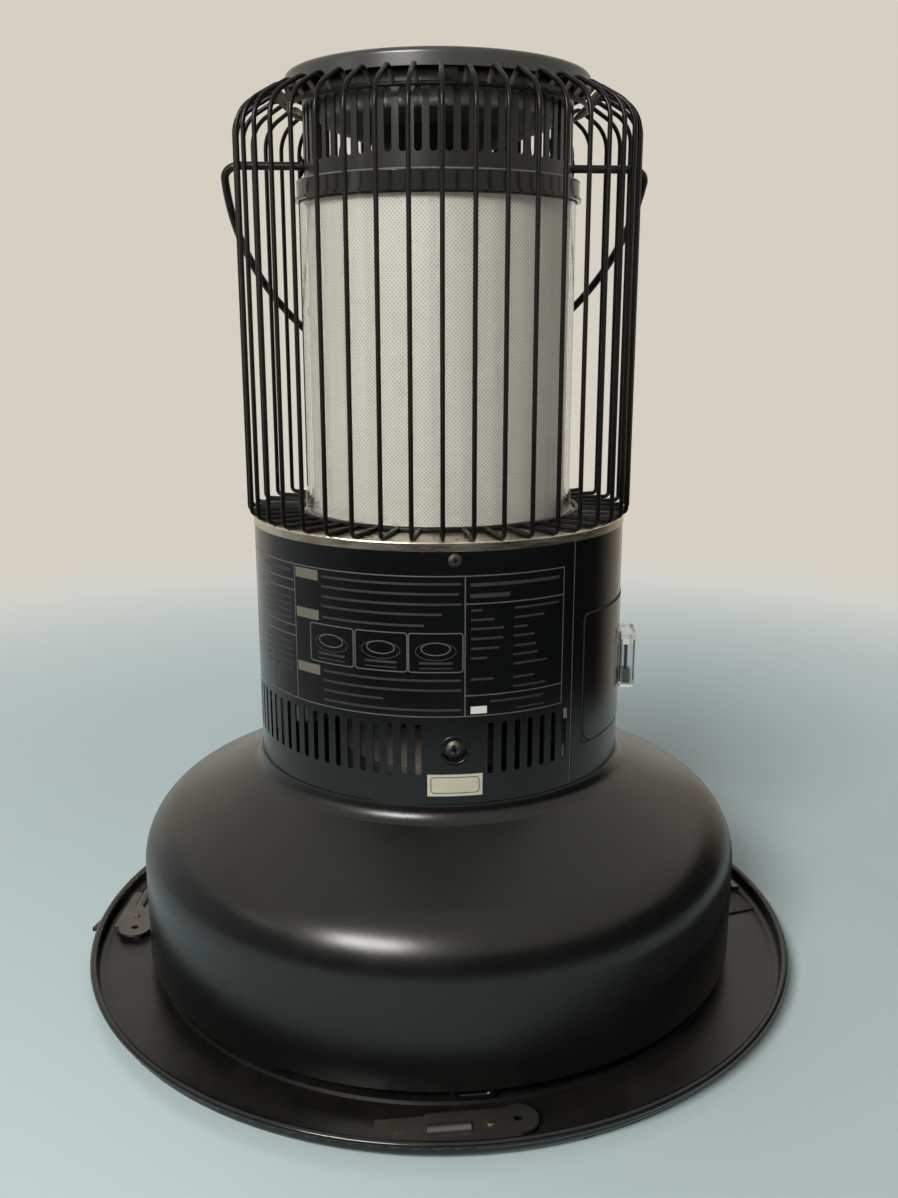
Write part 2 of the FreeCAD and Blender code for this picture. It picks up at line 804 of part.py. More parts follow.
# Tank: drawn shell, recessed base and bent wire legs
filler_hole = rod("filler_hole", "filler_outer + running_gap", "tank_floor", "filler_top",
                  upright(size("filler_angle"), size("filler_circle")))
gauge_hole = rod("gauge_hole", "gauge_outer + running_gap", "tank_floor", "gauge_top",
                 upright(size("gauge_angle"), size("gauge_circle")))
tank_blank = lathe("tank_blank", [
    ("tank_radius", "tank_bottom"),
    ("tank_radius", "shoulder_corner"),
    ("neck_radius", "neck_corner"),
    ("neck_radius", "casing_base"),
    ("chamber_radius + running_gap", "casing_base"),
    ("chamber_radius + running_gap", "casing_base - tank_sheet"),
    ("neck_inner", "casing_base - tank_sheet"),
    ("neck_inner", "neck_corner_inner"),
    ("tank_inner", "shoulder_corner_inner"),
    ("tank_inner", "tank_bottom"),
], rounds=[(1, "shoulder_round"), (2, "neck_round"), (8, "shoulder_round - tank_sheet")])
keep("tank_shell", cut("tank_shell", tank_blank, [filler_hole, gauge_hole]))
keep("tank_base", lathe("tank_base", [
    ("draught_radius + running_gap", "tank_base_level"),
    ("tank_inner - tank_sheet - running_gap", "tank_base_level"),
    ("tank_inner - tank_sheet - running_gap", "tank_bottom"),
    ("tank_inner - running_gap", "tank_bottom"),
    ("tank_inner - running_gap", "tank_floor"),
    ("draught_radius + running_gap", "tank_floor"),
]))
leg_low = size("tray_step_level") + size("tray_sheet") + size("leg_wire_radius")
leg_side = size("leg_span") / 2
leg_points = [
    Vector(size("leg_circle"), -leg_side, size("tank_base_level")),
    Vector(size("leg_circle"), -leg_side, leg_low),
    Vector(size("leg_circle"), leg_side, leg_low),
    Vector(size("leg_circle"), leg_side, size("tank_base_level")),
]
leg_path = bent_path(leg_points, [size("leg_bend")] * 2)
leg_master = shaped("leg_master", wire_along(leg_path, size("leg_wire_radius")))
leg_step = 360.0 / size("leg_count")
leg_places = [around(size("leg_angle") + leg_step * number) for number in range(int(size("leg_count")))]
keep("tank_legs", copies("tank_legs", leg_master, leg_places))

# Filler neck, its cap with a ribbed grip and the seal under the cap
filler_place = upright(size("filler_angle"), size("filler_circle"))
keep("filler_neck", tube(
    "filler_neck", "filler_bore", "filler_outer", "filler_seat - filler_dip", "filler_top", filler_place))
cap_blank = lathe("cap_blank", [
    ("cap_inner", "cap_top_level - cap_top - cap_skirt"),
    ("cap_outer", "cap_top_level - cap_top - cap_skirt"),
    ("cap_outer", "cap_top_level"),
    ("0", "cap_top_level"),
    ("0", "cap_ceiling"),
    ("cap_inner", "cap_ceiling"),
], rounds=[(2, "cap_top / 3")], placement=filler_place)
cap_flute = rod("cap_flute", "cap_rib_radius", "cap_top_level - cap_top - cap_skirt", "cap_top_level")
cap_flute_places = []
for number in range(int(size("cap_rib_count"))):
    turn = Rotation(Vector(0, 0, 1), 360.0 * number / size("cap_rib_count"))
    offset = turn.multVec(Vector(size("cap_outer"), 0, 0))
    cap_flute_places.append(filler_place.multiply(Placement(offset, Rotation())))
cap_flutes = copies("cap_flutes", cap_flute, cap_flute_places)
keep("filler_cap", cut("filler_cap", cap_blank, [cap_flutes]))
keep("cap_seal", tube(
    "cap_seal", "filler_bore", "filler_outer", "seal_level", "seal_level + seal_thickness", filler_place))

# Fuel gauge: a well in the shoulder, its window, and a float whose rod lifts an indicator
gauge_place = upright(size("gauge_angle"), size("gauge_circle"))
keep("gauge_body", lathe("gauge_body", [
    ("gauge_rod_radius + gauge_guide_gap", "gauge_bottom"),
    ("gauge_outer", "gauge_bottom"),
    ("gauge_outer", "gauge_top"),
    ("gauge_bore", "gauge_top"),
    ("gauge_bore", "gauge_bottom + gauge_wall"),
    ("gauge_rod_radius + gauge_guide_gap", "gauge_bottom + gauge_wall"),
], placement=gauge_place))
keep("gauge_window", rod(
    "gauge_window", "gauge_bore - running_gap", "gauge_window_top - gauge_window_thickness",
    "gauge_window_top", gauge_place))
keep("gauge_float", lathe("gauge_float", [
    ("0", "float_bottom"),
    ("float_radius", "float_bottom"),
    ("float_radius", "float_bottom + float_height"),
    ("gauge_rod_radius", "float_bottom + float_height"),
    ("gauge_rod_radius", "indicator_bottom"),
    ("indicator_radius", "indicator_bottom"),
    ("indicator_radius", "indicator_bottom + indicator_height"),
    ("0", "indicator_bottom + indicator_height"),
], placement=gauge_place))

# Draught tube, wick tube, wick and wick holder
keep("draught_tube", tube("draught_tube", "draught_inner", "draught_radius", "tank_bottom", "tube_top"))
wick_tube_blank = lathe("wick_tube_blank", [
    ("chamber_inner", "casing_base - chamber_hang"),
    ("chamber_radius", "casing_base - chamber_hang"),
    ("chamber_radius", "chamber_top"),
    ("wick_tube_radius", "chamber_top"),
    ("wick_tube_radius", "tube_top"),
    ("seat_radius", "tube_top"),
    ("seat_radius", "seat_top"),
    ("wick_tube_inner", "seat_top"),
    ("wick_tube_inner", "chamber_top - tube_sheet"),
    ("chamber_inner", "chamber_top - tube_sheet"),
])
front = 180.0
knob_axis = radial(front, size("knob_height"))
bush_hole = rod("bush_hole", "bush_radius + running_gap", "wick_tube_radius", "casing_radius", knob_axis)
keep("wick_tube", cut("wick_tube", wick_tube_blank, [bush_hole]))
keep("wick", tube("wick", "wick_inner", "wick_outer", "wick_bottom", "wick_top"))
holder_tube = tube("holder_tube", "holder_inner", "holder_outer", "holder_bottom", "holder_top")
tooth_pitch = math.pi * size("tooth_module")
tooth_half = tooth_pitch * size("tooth_share") / 2
addendum = size("tooth_module")
dedendum = 1.25 * size("tooth_module")
flank = math.tan(math.radians(20))
rack_low = size("knob_height") - size("rack_below")
rack_high = size("knob_height") + size("rack_above")
rack_root = size("pitch_radius") + dedendum
rack_tip = size("pitch_radius") - addendum
rack_start = size("pinion_circle") - size("pinion_width") / 2
rack_outline = [
    (rack_root + size("rack_back"), rack_low),
    (rack_root, rack_low),
]
first_tooth = math.ceil((rack_low + tooth_pitch / 2 - size("knob_height")) / tooth_pitch)
last_tooth = math.floor((rack_high - tooth_pitch / 2 - size("knob_height")) / tooth_pitch)
for tooth in range(first_tooth, last_tooth + 1):
    middle = size("knob_height") + tooth * tooth_pitch
    foot_half_tooth = tooth_half + dedendum * flank
    tip_half_tooth = tooth_half - addendum * flank
    rack_outline.append((rack_root, middle - foot_half_tooth))
    rack_outline.append((rack_tip, middle - tip_half_tooth))
    rack_outline.append((rack_tip, middle + tip_half_tooth))
    rack_outline.append((rack_root, middle + foot_half_tooth))
rack_outline.append((rack_root, rack_high))
rack_outline.append((rack_root + size("rack_back"), rack_high))
rack_points = [Vector(rack_start, -side, level) for side, level in rack_outline]
rack_face = Part.Face(Part.makePolygon(rack_points + rack_points[:1]))
rack_bar = rack_face.extrude(Vector(size("pinion_width"), 0, 0))
bridge_side = rack_root + size("rack_back") / 4
bridge_width = size("rack_back") * 3 / 4
bridge_start = math.sqrt((size("holder_inner") + size("holder_sheet") / 8) ** 2 - bridge_side ** 2)
bridge = Part.makeBox(
    rack_start - bridge_start + size("pinion_width") / 2,
    bridge_width,
    size("bridge_below") + size("bridge_above"),
    Vector(bridge_start, -bridge_side - bridge_width, size("knob_height") - size("bridge_below")),
)
rack = shaped("rack", rack_bar.fuse(bridge).removeSplitter())
rack.Placement = around(front)
keep("wick_holder", joined("wick_holder", [holder_tube, rack]))

# Wick knob, shaft with its pinion, and the gland bush in the wick tube's wall
pinion_points = []
teeth = int(size("pinion_teeth"))
root_radius = size("pitch_radius") - dedendum
tip_radius = size("pitch_radius") + addendum
half_at_pitch = tooth_half / size("pitch_radius")
for tooth in range(teeth):
    middle = 2 * math.pi * (tooth + 0.5) / teeth
    root_half = half_at_pitch + dedendum * flank / size("pitch_radius")
    tip_half = half_at_pitch - addendum * flank / size("pitch_radius")
    for turn, reach in ((-root_half, root_radius), (-tip_half, tip_radius),
                        (tip_half, tip_radius), (root_half, root_radius)):
        spot = Vector(rack_start, reach * math.cos(middle + turn), reach * math.sin(middle + turn))
        pinion_points.append(spot)
pinion_face = Part.Face(Part.makePolygon(pinion_points + pinion_points[:1]))
pinion = shaped("pinion", pinion_face.extrude(Vector(size("pinion_width"), 0, 0)))
pinion.Placement = around(front, size("knob_height"))
shaft_bar = rod(
    "shaft_bar", "shaft_radius", "pinion_circle - pinion_width / 2 - running_gap",
    "knob_back + knob_socket", knob_axis)
keep("knob_shaft", joined("knob_shaft", [shaft_bar, pinion]))
keep("knob_bush", lathe("knob_bush", [
    ("bush_bore", "chamber_inner - bush_lead"),
    ("bush_radius", "chamber_inner - bush_lead"),
    ("bush_radius", "chamber_radius + running_gap"),
    ("bush_flange_radius", "chamber_radius + running_gap"),
    ("bush_flange_radius", "chamber_radius + bush_flange"),
    ("bush_radius", "chamber_radius + bush_flange"),
    ("bush_radius", "chamber_radius + bush_tail"),
    ("bush_bore", "chamber_radius + bush_tail"),
], placement=knob_axis))
knob_blank = lathe("knob_blank", [
    ("shaft_radius", "knob_back"),
    ("knob_skirt_radius", "knob_back"),
    ("knob_skirt_radius", "knob_back + knob_skirt"),
    ("knob_radius", "knob_back + knob_skirt"),
    ("knob_radius", "knob_front"),
    ("0", "knob_front"),
    ("0", "knob_back + knob_socket"),
    ("shaft_radius", "knob_back + knob_socket"),
], rounds=[(4, "knob_skirt / 3")], placement=knob_axis)
grip_side = size("knob_grip_width") / 2
grip_level = size("knob_back") + size("knob_skirt") + size("knob_socket") / 6
grip_cutters = []
for sign in (-1, 1):
    start = grip_side if sign > 0 else -grip_side - size("knob_skirt_radius")
    cutter = Part.makeBox(
        size("knob_depth"),
        size("knob_skirt_radius"),
        4 * size("knob_skirt_radius"),
        Vector(grip_level, start, -2 * size("knob_skirt_radius")),
    )
    grip_cutters.append(shaped("grip_cutter", moved(cutter, around(front, size("knob_height")))))
keep("wick_knob", cut("wick_knob", knob_blank, grip_cutters))

# Casing: rear and front sheets with a butt seam on inside straps
seam_turn = math.degrees(size("seam_gap") / size("casing_radius"))


def casing_sheet(label, start, span_expression):
    """A curved casing sheet that starts at an angle and runs towards +X."""
    outline = [
        ("casing_inner", "casing_base"),
        ("casing_radius", "casing_base"),
        ("casing_radius", "casing_top"),
        ("casing_inner", "casing_top"),
    ]
    return lathe(label, outline, span=span_expression, placement=around(start))


seam_rule = "seam_gap / casing_radius * 180 / pi"
rear_start = size("seam_angle") - size("rear_span")
rear_blank = casing_sheet("rear_blank", rear_start, "rear_span - " + seam_rule)
front_blank = casing_sheet("front_blank", size("seam_angle"), "360 - rear_span - " + seam_rule)

dimple_level = size("casing_base") + size("dimple_rise")
dimple_axis = radial(0, dimple_level)
dimple_cup = lathe("dimple_cup", [
    ("screw_shank_radius + running_gap", "casing_radius - dimple_depth - casing_sheet"),
    ("dimple_radius", "casing_radius - dimple_depth - casing_sheet"),
    ("dimple_radius", "casing_inner + casing_sheet / 2"),
    ("dimple_radius - casing_sheet", "casing_inner + casing_sheet / 2"),
    ("dimple_radius - casing_sheet", "casing_radius - dimple_depth"),
    ("screw_shank_radius + running_gap", "casing_radius - dimple_depth"),
], placement=dimple_axis)
dimple_hole = rod(
    "dimple_hole", "dimple_radius - casing_sheet", "chamber_radius", "fascia_outer", dimple_axis)
slot_master = slot_shape(
    size("low_slot_width"), size("low_slot_length"), size("casing_inner") - 5, size("casing_radius") + 5)
slot_level = size("casing_base") + size("low_slot_rise")
slot_angles = []
for number in range(int(size("low_slots_right"))):
    slot_angles.append(size("low_slot_start") + number * size("low_slot_pitch"))
for number in range(int(size("low_slots_left"))):
    slot_angles.append(-size("low_slot_start") - number * size("low_slot_pitch"))
slot_cutters = shaped("slot_cutters", Part.makeCompound(
    [moved(slot_master, around(angle, slot_level)) for angle in slot_angles]))
top_screw_level = size("casing_top") - size("top_screw_drop")
top_screw_angles = [0.0, 120.0, -120.0]
top_hole_master = rod(
    "top_hole_master", "screw_shank_radius * top_screw_scale + running_gap", "chamber_radius", "fascia_outer")
top_holes = copies("top_holes", top_hole_master,
                   [radial(angle, top_screw_level) for angle in top_screw_angles])
rear_punched = cut("rear_punched", rear_blank, [slot_cutters, top_holes, dimple_hole])
keep("rear_casing", joined("rear_casing", [rear_punched, dimple_cup]))

battery_half = size("battery_span") / 2
battery_start = size("battery_angle") - battery_half


def curved_panel(label, inner, outer, bottom, top, angle_start, span_expression, corner):
    """A curved panel with rounded corners."""
    panel = lathe(label, [(inner, bottom), (outer, bottom), (outer, top), (inner, top)],
                  span=span_expression)
    base = panel.Tip
    corners = []
    for index, edge in enumerate(base.Shape.Edges, start=1):
        ends = [vertex.Point for vertex in edge.Vertexes]
        if isinstance(edge.Curve, Part.Line) and abs(ends[0].z - ends[1].z) < 1e-6:
            corners.append("Edge%d" % index)
    fillet = panel.newObject("PartDesign::Fillet", label + "_corners")
    fillet.Base = (base, corners)
    fillet.setExpression("Radius", bound(corner))
    panel.Tip = fillet
    doc.recompute()
    panel.Placement = around(angle_start)
    return panel


battery_window = curved_panel(
    "battery_window", "box_inner", "fascia_outer", "battery_bottom", "battery_top",
    battery_start, "battery_span", "battery_corner")
lever_place = around(size("lever_angle"), size("lever_height"))
slot_drop = (size("fascia_outer") - size("lever_pivot")) * math.tan(math.radians(size("lever_travel")))
lever_margin = size("lever_slot_margin")
lever_slot_shape = Part.makeBox(
    size("fascia_outer") - size("casing_inner") + 4,
    size("lever_width") + 2 * lever_margin,
    slot_drop + size("lever_depth") + 2 * lever_margin,
    Vector(
        size("casing_inner") - 2,
        -size("lever_width") / 2 - lever_margin,
        -slot_drop - size("lever_depth") / 2 - lever_margin,
    ),
)
lever_slot = shaped("lever_slot", moved(lever_slot_shape, lever_place))
stop_axis = radial(size("stop_angle"), size("stop_height"))
stop_hole = rod(
    "stop_hole", "stop_stem_radius + lever_slot_margin / 4", "chamber_radius",
    "fascia_outer + fascia_sheet", stop_axis)
shaft_hole = rod(
    "shaft_hole", "shaft_radius + lever_slot_margin", "chamber_radius", "knob_back", knob_axis)
keep("front_casing", cut(
    "front_casing", front_blank, [battery_window, lever_slot, stop_hole, shaft_hole, top_holes]))
fascia_blank = lathe("fascia_blank", [
    ("fascia_inner", "fascia_bottom"),
    ("fascia_outer", "fascia_bottom"),
    ("fascia_outer", "fascia_bottom + fascia_height"),
    ("fascia_inner", "fascia_bottom + fascia_height"),
], rounds=[(1, "fascia_sheet / 3"), (2, "fascia_sheet / 3")], span="fascia_span",
    placement=around(front - size("fascia_span") / 2))
keep("control_fascia", cut("control_fascia", fascia_blank, [lever_slot, stop_hole, shaft_hole]))

strap_master = lathe("strap_master", [
    ("casing_inner - strap_gap - strap_sheet", "casing_base"),
    ("casing_inner - strap_gap", "casing_base"),
    ("casing_inner - strap_gap", "casing_top"),
    ("casing_inner - strap_gap - strap_sheet", "casing_top"),
], span="strap_width / casing_inner * 180 / pi")
strap_half = math.degrees(size("strap_width") / size("casing_inner")) / 2
strap_places = [around(angle - seam_turn / 2 - strap_half) for angle in (size("seam_angle"), rear_start)]
keep("casing_straps", copies("casing_straps", strap_master, strap_places))


def screw(label, seat, scale):
    """A pan-head screw with a cross recess, its head seated at a distance from the heater's axis."""
    blank = lathe(label, [
        ("0", seat + " - screw_length * " + scale),
        ("screw_shank_radius * " + scale, seat + " - screw_length * " + scale),
        ("screw_shank_radius * " + scale, seat),
        ("screw_head_radius * " + scale, seat),
        ("screw_head_radius * " + scale, seat + " + screw_head_height * 0.4 * " + scale),
        ("screw_head_radius * 0.6 * " + scale, seat + " + screw_head_height * " + scale),
        ("0", seat + " + screw_head_height * " + scale),
    ])
    top = blank.Shape.BoundBox.ZMax
    reach = blank.Shape.BoundBox.XMax
    arm = reach / 5
    depth = reach / 3
    long_side = reach * 1.1
    cross = []
    for length, width in ((long_side, arm), (arm, long_side)):
        corner = Vector(-length / 2, -width / 2, top - depth)
        cross.append(shaped(label + "_recess", Part.makeBox(length, width, 2 * depth, corner)))
    return cut(label + "_finished", blank, [joined(label + "_cross", cross)])


dimple_screw = screw("dimple_screw", "casing_radius - dimple_depth + running_gap", "1")
top_screw = screw("top_screw", "casing_radius + running_gap", "top_screw_scale")
doc.recompute()
screw_solids = [moved(dimple_screw.Shape.Solids[0], dimple_axis)]
for angle in top_screw_angles:
    screw_solids.append(moved(top_screw.Shape.Solids[0], radial(angle, top_screw_level)))
keep("casing_screws", shaped("casing_screws", Part.makeCompound(screw_solids)))

# Bright deck plate on top of the casing
keep("deck_plate", lathe("deck_plate", [
    ("deck_hole", "deck_top - deck_sheet"),
    ("deck_radius - deck_sheet", "deck_top - deck_sheet"),
    ("deck_radius - deck_sheet", "casing_top"),
    ("deck_radius", "casing_top"),
    ("deck_radius", "deck_top"),
    ("deck_hole", "deck_top"),
], rounds=[(4, "deck_round")]))

# Ignition lever on its bracket, and the igniter that swings in over the wick
lever_bar = Part.makeBox(
    size("lever_reach") - size("lever_inner"),
    size("lever_width"),
    size("lever_depth"),
    Vector(size("lever_inner"), -size("lever_width") / 2, -size("lever_depth") / 2),
)
lever_boss = Part.makeCylinder(
    size("lever_boss"), size("lever_width"),
    Vector(size("lever_pivot"), -size("lever_width") / 2, 0), Vector(0, 1, 0))
paddle = Part.makeBox(
    size("paddle_length"),
    size("paddle_width"),
    size("paddle_depth"),
    Vector(size("lever_reach") - size("paddle_length"), -size("paddle_width") / 2, -size("paddle_depth") / 2),
)
paddle = paddle.makeFillet(size("paddle_depth") / 4, paddle.Edges)
lever_bore = Part.makeCylinder(
    size("lever_pin_radius") + size("running_gap"), 2 * size("lever_width"),
    Vector(size("lever_pivot"), -size("lever_width"), 0), Vector(0, 1, 0))
lever_shape = lever_bar.fuse([lever_boss, paddle]).removeSplitter().cut(lever_bore)
lever = shaped("ignition_lever", lever_shape)
lever.Placement = lever_place
keep("ignition_lever", lever)
bracket_side = size("lever_width") / 2 + size("bracket_gap")
bracket_start = size("lever_pivot") - size("bracket_width") / 2
bracket_high = size("lever_height") + size("lever_boss")
bracket_plate = Part.makeBox(
    size("bracket_width"),
    size("bracket_sheet"),
    bracket_high - size("casing_base"),
    Vector(bracket_start, bracket_side, size("casing_base")),
)
bracket_foot = Part.makeBox(
    size("bracket_width"),
    size("bracket_sheet") + size("bracket_foot"),
    size("bracket_sheet"),
    Vector(bracket_start, bracket_side, size("casing_base")),
)
bracket_pin = Part.makeCylinder(
    size("lever_pin_radius"), size("lever_width") + 3 * size("bracket_gap"),
    Vector(size("lever_pivot"), bracket_side, size("lever_height")), Vector(0, -1, 0))
bracket = shaped("lever_bracket", bracket_plate.fuse([bracket_foot, bracket_pin]).removeSplitter())
bracket.Placement = around(size("lever_angle"))
keep("lever_bracket", bracket)

igniter_place = upright(size("lever_angle"), size("igniter_post_radial"), size("igniter_post_side"))
keep("igniter_post", lathe("igniter_post", [
    ("0", "casing_base"),
    ("igniter_post_radius", "casing_base"),
    ("igniter_post_radius", "seat_top + igniter_level - running_gap"),
    ("igniter_pin_radius", "seat_top + igniter_level - running_gap"),
    ("igniter_pin_radius", "seat_top + igniter_level + igniter_arm_depth"),
    ("0", "seat_top + igniter_level + igniter_arm_depth"),
], placement=igniter_place))
arm_turn = Placement(
    Vector(0, 0, size("seat_top") + size("igniter_level")),
    Rotation(Vector(0, 0, 1), size("igniter_rest_angle")),
)
arm_bar = Part.makeBox(
    size("igniter_length"),
    size("igniter_arm_width"),
    size("igniter_arm_depth"),
    Vector(0, -size("igniter_arm_width") / 2, 0),
)
arm_hub = Part.makeCylinder(size("igniter_arm_width"), size("igniter_arm_depth"))
arm_bore = Part.makeCylinder(size("igniter_pin_radius") + size("running_gap"), size("igniter_arm_depth"))
arm_shape = arm_bar.fuse(arm_hub).removeSplitter().cut(arm_bore)
arm = shaped("igniter_arm", moved(arm_shape, arm_turn))
arm.Placement = igniter_place.multiply(arm.Placement)
keep("igniter_arm", arm)
head_shape = Part.makeCylinder(
    size("igniter_head_radius"), size("igniter_head_height"),
    Vector(size("igniter_length"), 0, size("igniter_arm_depth") / 2), Vector(1, 0, 0))
head = shaped("igniter_head", moved(head_shape, arm_turn))
head.Placement = igniter_place.multiply(head.Placement)
keep("igniter_head", head)

# Emergency stop button in its guide
keep("stop_button", lathe("stop_button", [
    ("0", "stop_stem_start"),
    ("stop_stem_radius", "stop_stem_start"),
    ("stop_stem_radius", "fascia_outer + stop_travel + stop_stand_off"),
    ("stop_head_radius", "fascia_outer + stop_travel + stop_stand_off"),
    ("stop_head_radius", "fascia_outer + stop_travel + stop_stand_off + stop_head_depth"),
    ("0", "fascia_outer + stop_travel + stop_stand_off + stop_head_depth"),
], rounds=[(4, "stop_head_depth / 4")], placement=stop_axis))
guide_block = block(
    "guide_block", "guide_depth", "guide_width", "stop_height - casing_base + stop_stem_radius * 2",
    around(size("stop_angle"), size("casing_base")).multiply(
        Placement(Vector(size("guide_start"), 0, 0), Rotation())))
guide_bore = rod(
    "guide_bore", "stop_stem_radius + running_gap", "guide_start - guide_depth",
    "guide_start + guide_depth * 2", stop_axis)
keep("stop_guide", cut("stop_guide", guide_block, [guide_bore]))

# Quake pendulum on its bracket
quake_level = size("casing_base") + size("quake_pivot_rise")
quake_place = around(size("quake_angle"), quake_level)
quake_hub = Part.makeCylinder(
    size("quake_hub_radius"), size("quake_hub_depth"),
    Vector(size("quake_circle") - size("quake_hub_depth") / 2, 0, 0), Vector(1, 0, 0))
quake_rod = Part.makeBox(
    size("quake_rod"),
    size("quake_rod"),
    size("quake_rod_length") + 1,
    Vector(
        size("quake_circle") - size("quake_rod") / 2,
        -size("quake_rod") / 2,
        -size("quake_hub_radius") / 2 - size("quake_rod_length") - 1,
    ),
)
quake_bob_top = -size("quake_hub_radius") / 2 - size("quake_rod_length")
quake_bob = Part.makeCylinder(
    size("quake_bob_radius"), size("quake_bob_height"),
    Vector(size("quake_circle"), 0, quake_bob_top - size("quake_bob_height")))
quake_bore = Part.makeCylinder(
    size("quake_pin_radius") + size("running_gap"), 2 * size("quake_hub_depth"),
    Vector(size("quake_circle") - size("quake_hub_depth"), 0, 0), Vector(1, 0, 0))
quake_shape = quake_hub.fuse([quake_rod, quake_bob]).removeSplitter().cut(quake_bore)
quake_weight = shaped("quake_weight", quake_shape)
quake_weight.Placement = quake_place
keep("quake_weight", quake_weight)
quake_tall = size("quake_pivot_rise") + size("quake_hub_radius")
quake_plate = Part.makeBox(
    size("quake_plate_sheet"),
    size("quake_plate_width"),
    quake_tall,
    Vector(size("quake_plate_start"), -size("quake_plate_width") / 2, -size("quake_pivot_rise")),
)
quake_foot = Part.makeBox(
    size("quake_foot"),
    size("quake_plate_width"),
    size("quake_plate_sheet"),
    Vector(
        size("quake_plate_start") + size("quake_plate_sheet") - size("quake_foot"),
        -size("quake_plate_width") / 2,
        -size("quake_pivot_rise"),
    ),
)
quake_pin_start = size("quake_circle") - size("quake_hub_depth") / 2 - size("bracket_gap")
quake_pin = Part.makeCylinder(
    size("quake_pin_radius"), size("quake_plate_start") - quake_pin_start,
    Vector(quake_pin_start, 0, 0), Vector(1, 0, 0))
quake_bracket = shaped("quake_bracket", quake_plate.fuse([quake_foot, quake_pin]).removeSplitter())
quake_bracket.Placement = quake_place
keep("quake_bracket", quake_bracket)

# Battery box behind the casing, its cells and the cover in the casing's window
box_place = around(battery_start)
box_channel = lathe("box_channel", [
    ("box_inner", "box_floor - box_wall"),
    ("box_outer", "box_floor - box_wall"),
    ("box_outer", "box_floor"),
    ("box_inner + box_wall", "box_floor"),
    ("box_inner + box_wall", "box_ceiling"),
    ("box_outer", "box_ceiling"),
    ("box_outer", "box_ceiling + box_wall"),
    ("box_inner", "box_ceiling + box_wall"),
], span="battery_span", placement=box_place)
box_end_turn = math.degrees(size("box_wall") / size("box_outer"))
box_ends = []
for angle in (battery_start - box_end_turn, battery_start + size("battery_span")):
    box_ends.append(lathe("box_end", [
        ("box_inner", "box_floor - box_wall"),
        ("box_outer", "box_floor - box_wall"),
        ("box_outer", "box_ceiling + box_wall"),
        ("box_inner", "box_ceiling + box_wall"),
    ], span="box_wall / box_outer * 180 / pi", placement=around(angle)))
keep("battery_box", joined("battery_box", [box_channel] + box_ends))
cell_master = lathe("cell_master", [
    ("0", "box_floor + running_gap"),
    ("cell_radius", "box_floor + running_gap"),
    ("cell_radius", "box_floor + cell_height"),
    ("cell_nub_radius", "box_floor + cell_height"),
    ("cell_nub_radius", "box_floor + cell_height + cell_nub"),
    ("0", "box_floor + cell_height + cell_nub"),
])
cell_circle = size("box_inner") + size("box_wall") + size("cell_radius") + 2 * size("running_gap")
cell_first = size("battery_angle") - size("cell_pitch") * (size("cell_count") - 1) / 2
cell_places = []
for number in range(int(size("cell_count"))):
    cell_places.append(upright(cell_first + number * size("cell_pitch"), cell_circle))
keep("battery_cells", copies("battery_cells", cell_master, cell_places))
cover_turn = math.degrees(size("cover_gap") / size("casing_radius"))
keep("battery_cover", curved_panel(
    "battery_cover", "cover_inner", "cover_outer", "battery_bottom + cover_gap", "battery_top - cover_gap",
    battery_start + cover_turn, "battery_span - 2 * cover_gap / casing_radius * 180 / pi",
    "battery_corner - cover_gap"))

# Clear case on the battery cover, with its lid and the spare igniter inside
case_place = around(size("battery_angle"))


def upright_box(length, width, height, start, bottom, corner):
    """A box across the radius with rounded upright edges."""
    box = Part.makeBox(length, width, height, Vector(start, -width / 2, bottom))
    tall = [edge for edge in box.Edges if abs(edge.tangentAt(edge.FirstParameter).z) > 0.9]
    return box.makeFillet(corner, tall)


case_wall = size("case_wall")
case_outer = upright_box(
    size("case_depth"), size("case_width"), size("case_height"), size("case_start"), size("case_bottom"),
    1.5 * case_wall)
case_hollow = upright_box(
    size("case_depth") - 2 * case_wall, size("case_width") - 2 * case_wall, size("case_height"),
    size("case_start") + case_wall, size("case_bottom") + case_wall, 0.5 * case_wall)
case = shaped("spare_case", case_outer.cut(case_hollow))
case.Placement = case_place
keep("spare_case", case)
plug_gap = size("running_gap") * 2
lid_plate = upright_box(
    size("case_depth"), size("case_width"), size("case_lid"), size("case_start"),
    size("case_top") + size("running_gap"), 1.5 * case_wall)
lid_plug = upright_box(
    size("case_depth") - 2 * case_wall - 2 * plug_gap, size("case_width") - 2 * case_wall - 2 * plug_gap,
    size("case_plug") + size("case_lid") / 2, size("case_start") + case_wall + plug_gap,
    size("case_top") - size("case_plug"), 0.4 * case_wall)
lid = shaped("case_lid", lid_plate.fuse(lid_plug).removeSplitter())
lid.Placement = case_place
keep("case_lid", lid)
spare_middle = size("case_start") + size("case_depth") / 2
spare_low = size("case_bottom") + case_wall + size("running_gap")
spare_thick = size("case_depth") - 3 * case_wall
spare_back = spare_middle - spare_thick / 2
spare_wide = size("spare_base_width") / 2
spare_narrow = size("spare_base_width") / 3
spare_high = spare_low + size("spare_base_height")
spare_foot = [
    Vector(spare_back, -spare_wide, spare_low),
    Vector(spare_back, spare_wide, spare_low),
    Vector(spare_back, spare_narrow, spare_high),
    Vector(spare_back, -spare_narrow, spare_high),
]
spare_base = Part.Face(Part.makePolygon(spare_foot + spare_foot[:1])).extrude(Vector(spare_thick, 0, 0))
spare_leads = []
for sign in (-1, 1):
    foot = Vector(spare_middle, sign * size("spare_lead_pitch") / 2, spare_low)
    tall = size("spare_base_height") + size("spare_lead_length")
    spare_leads.append(Part.makeCylinder(size("spare_lead_radius"), tall, foot))
spare = shaped("spare_igniter", spare_base.fuse(spare_leads).removeSplitter())
spare.Placement = case_place
keep("spare_igniter", spare)

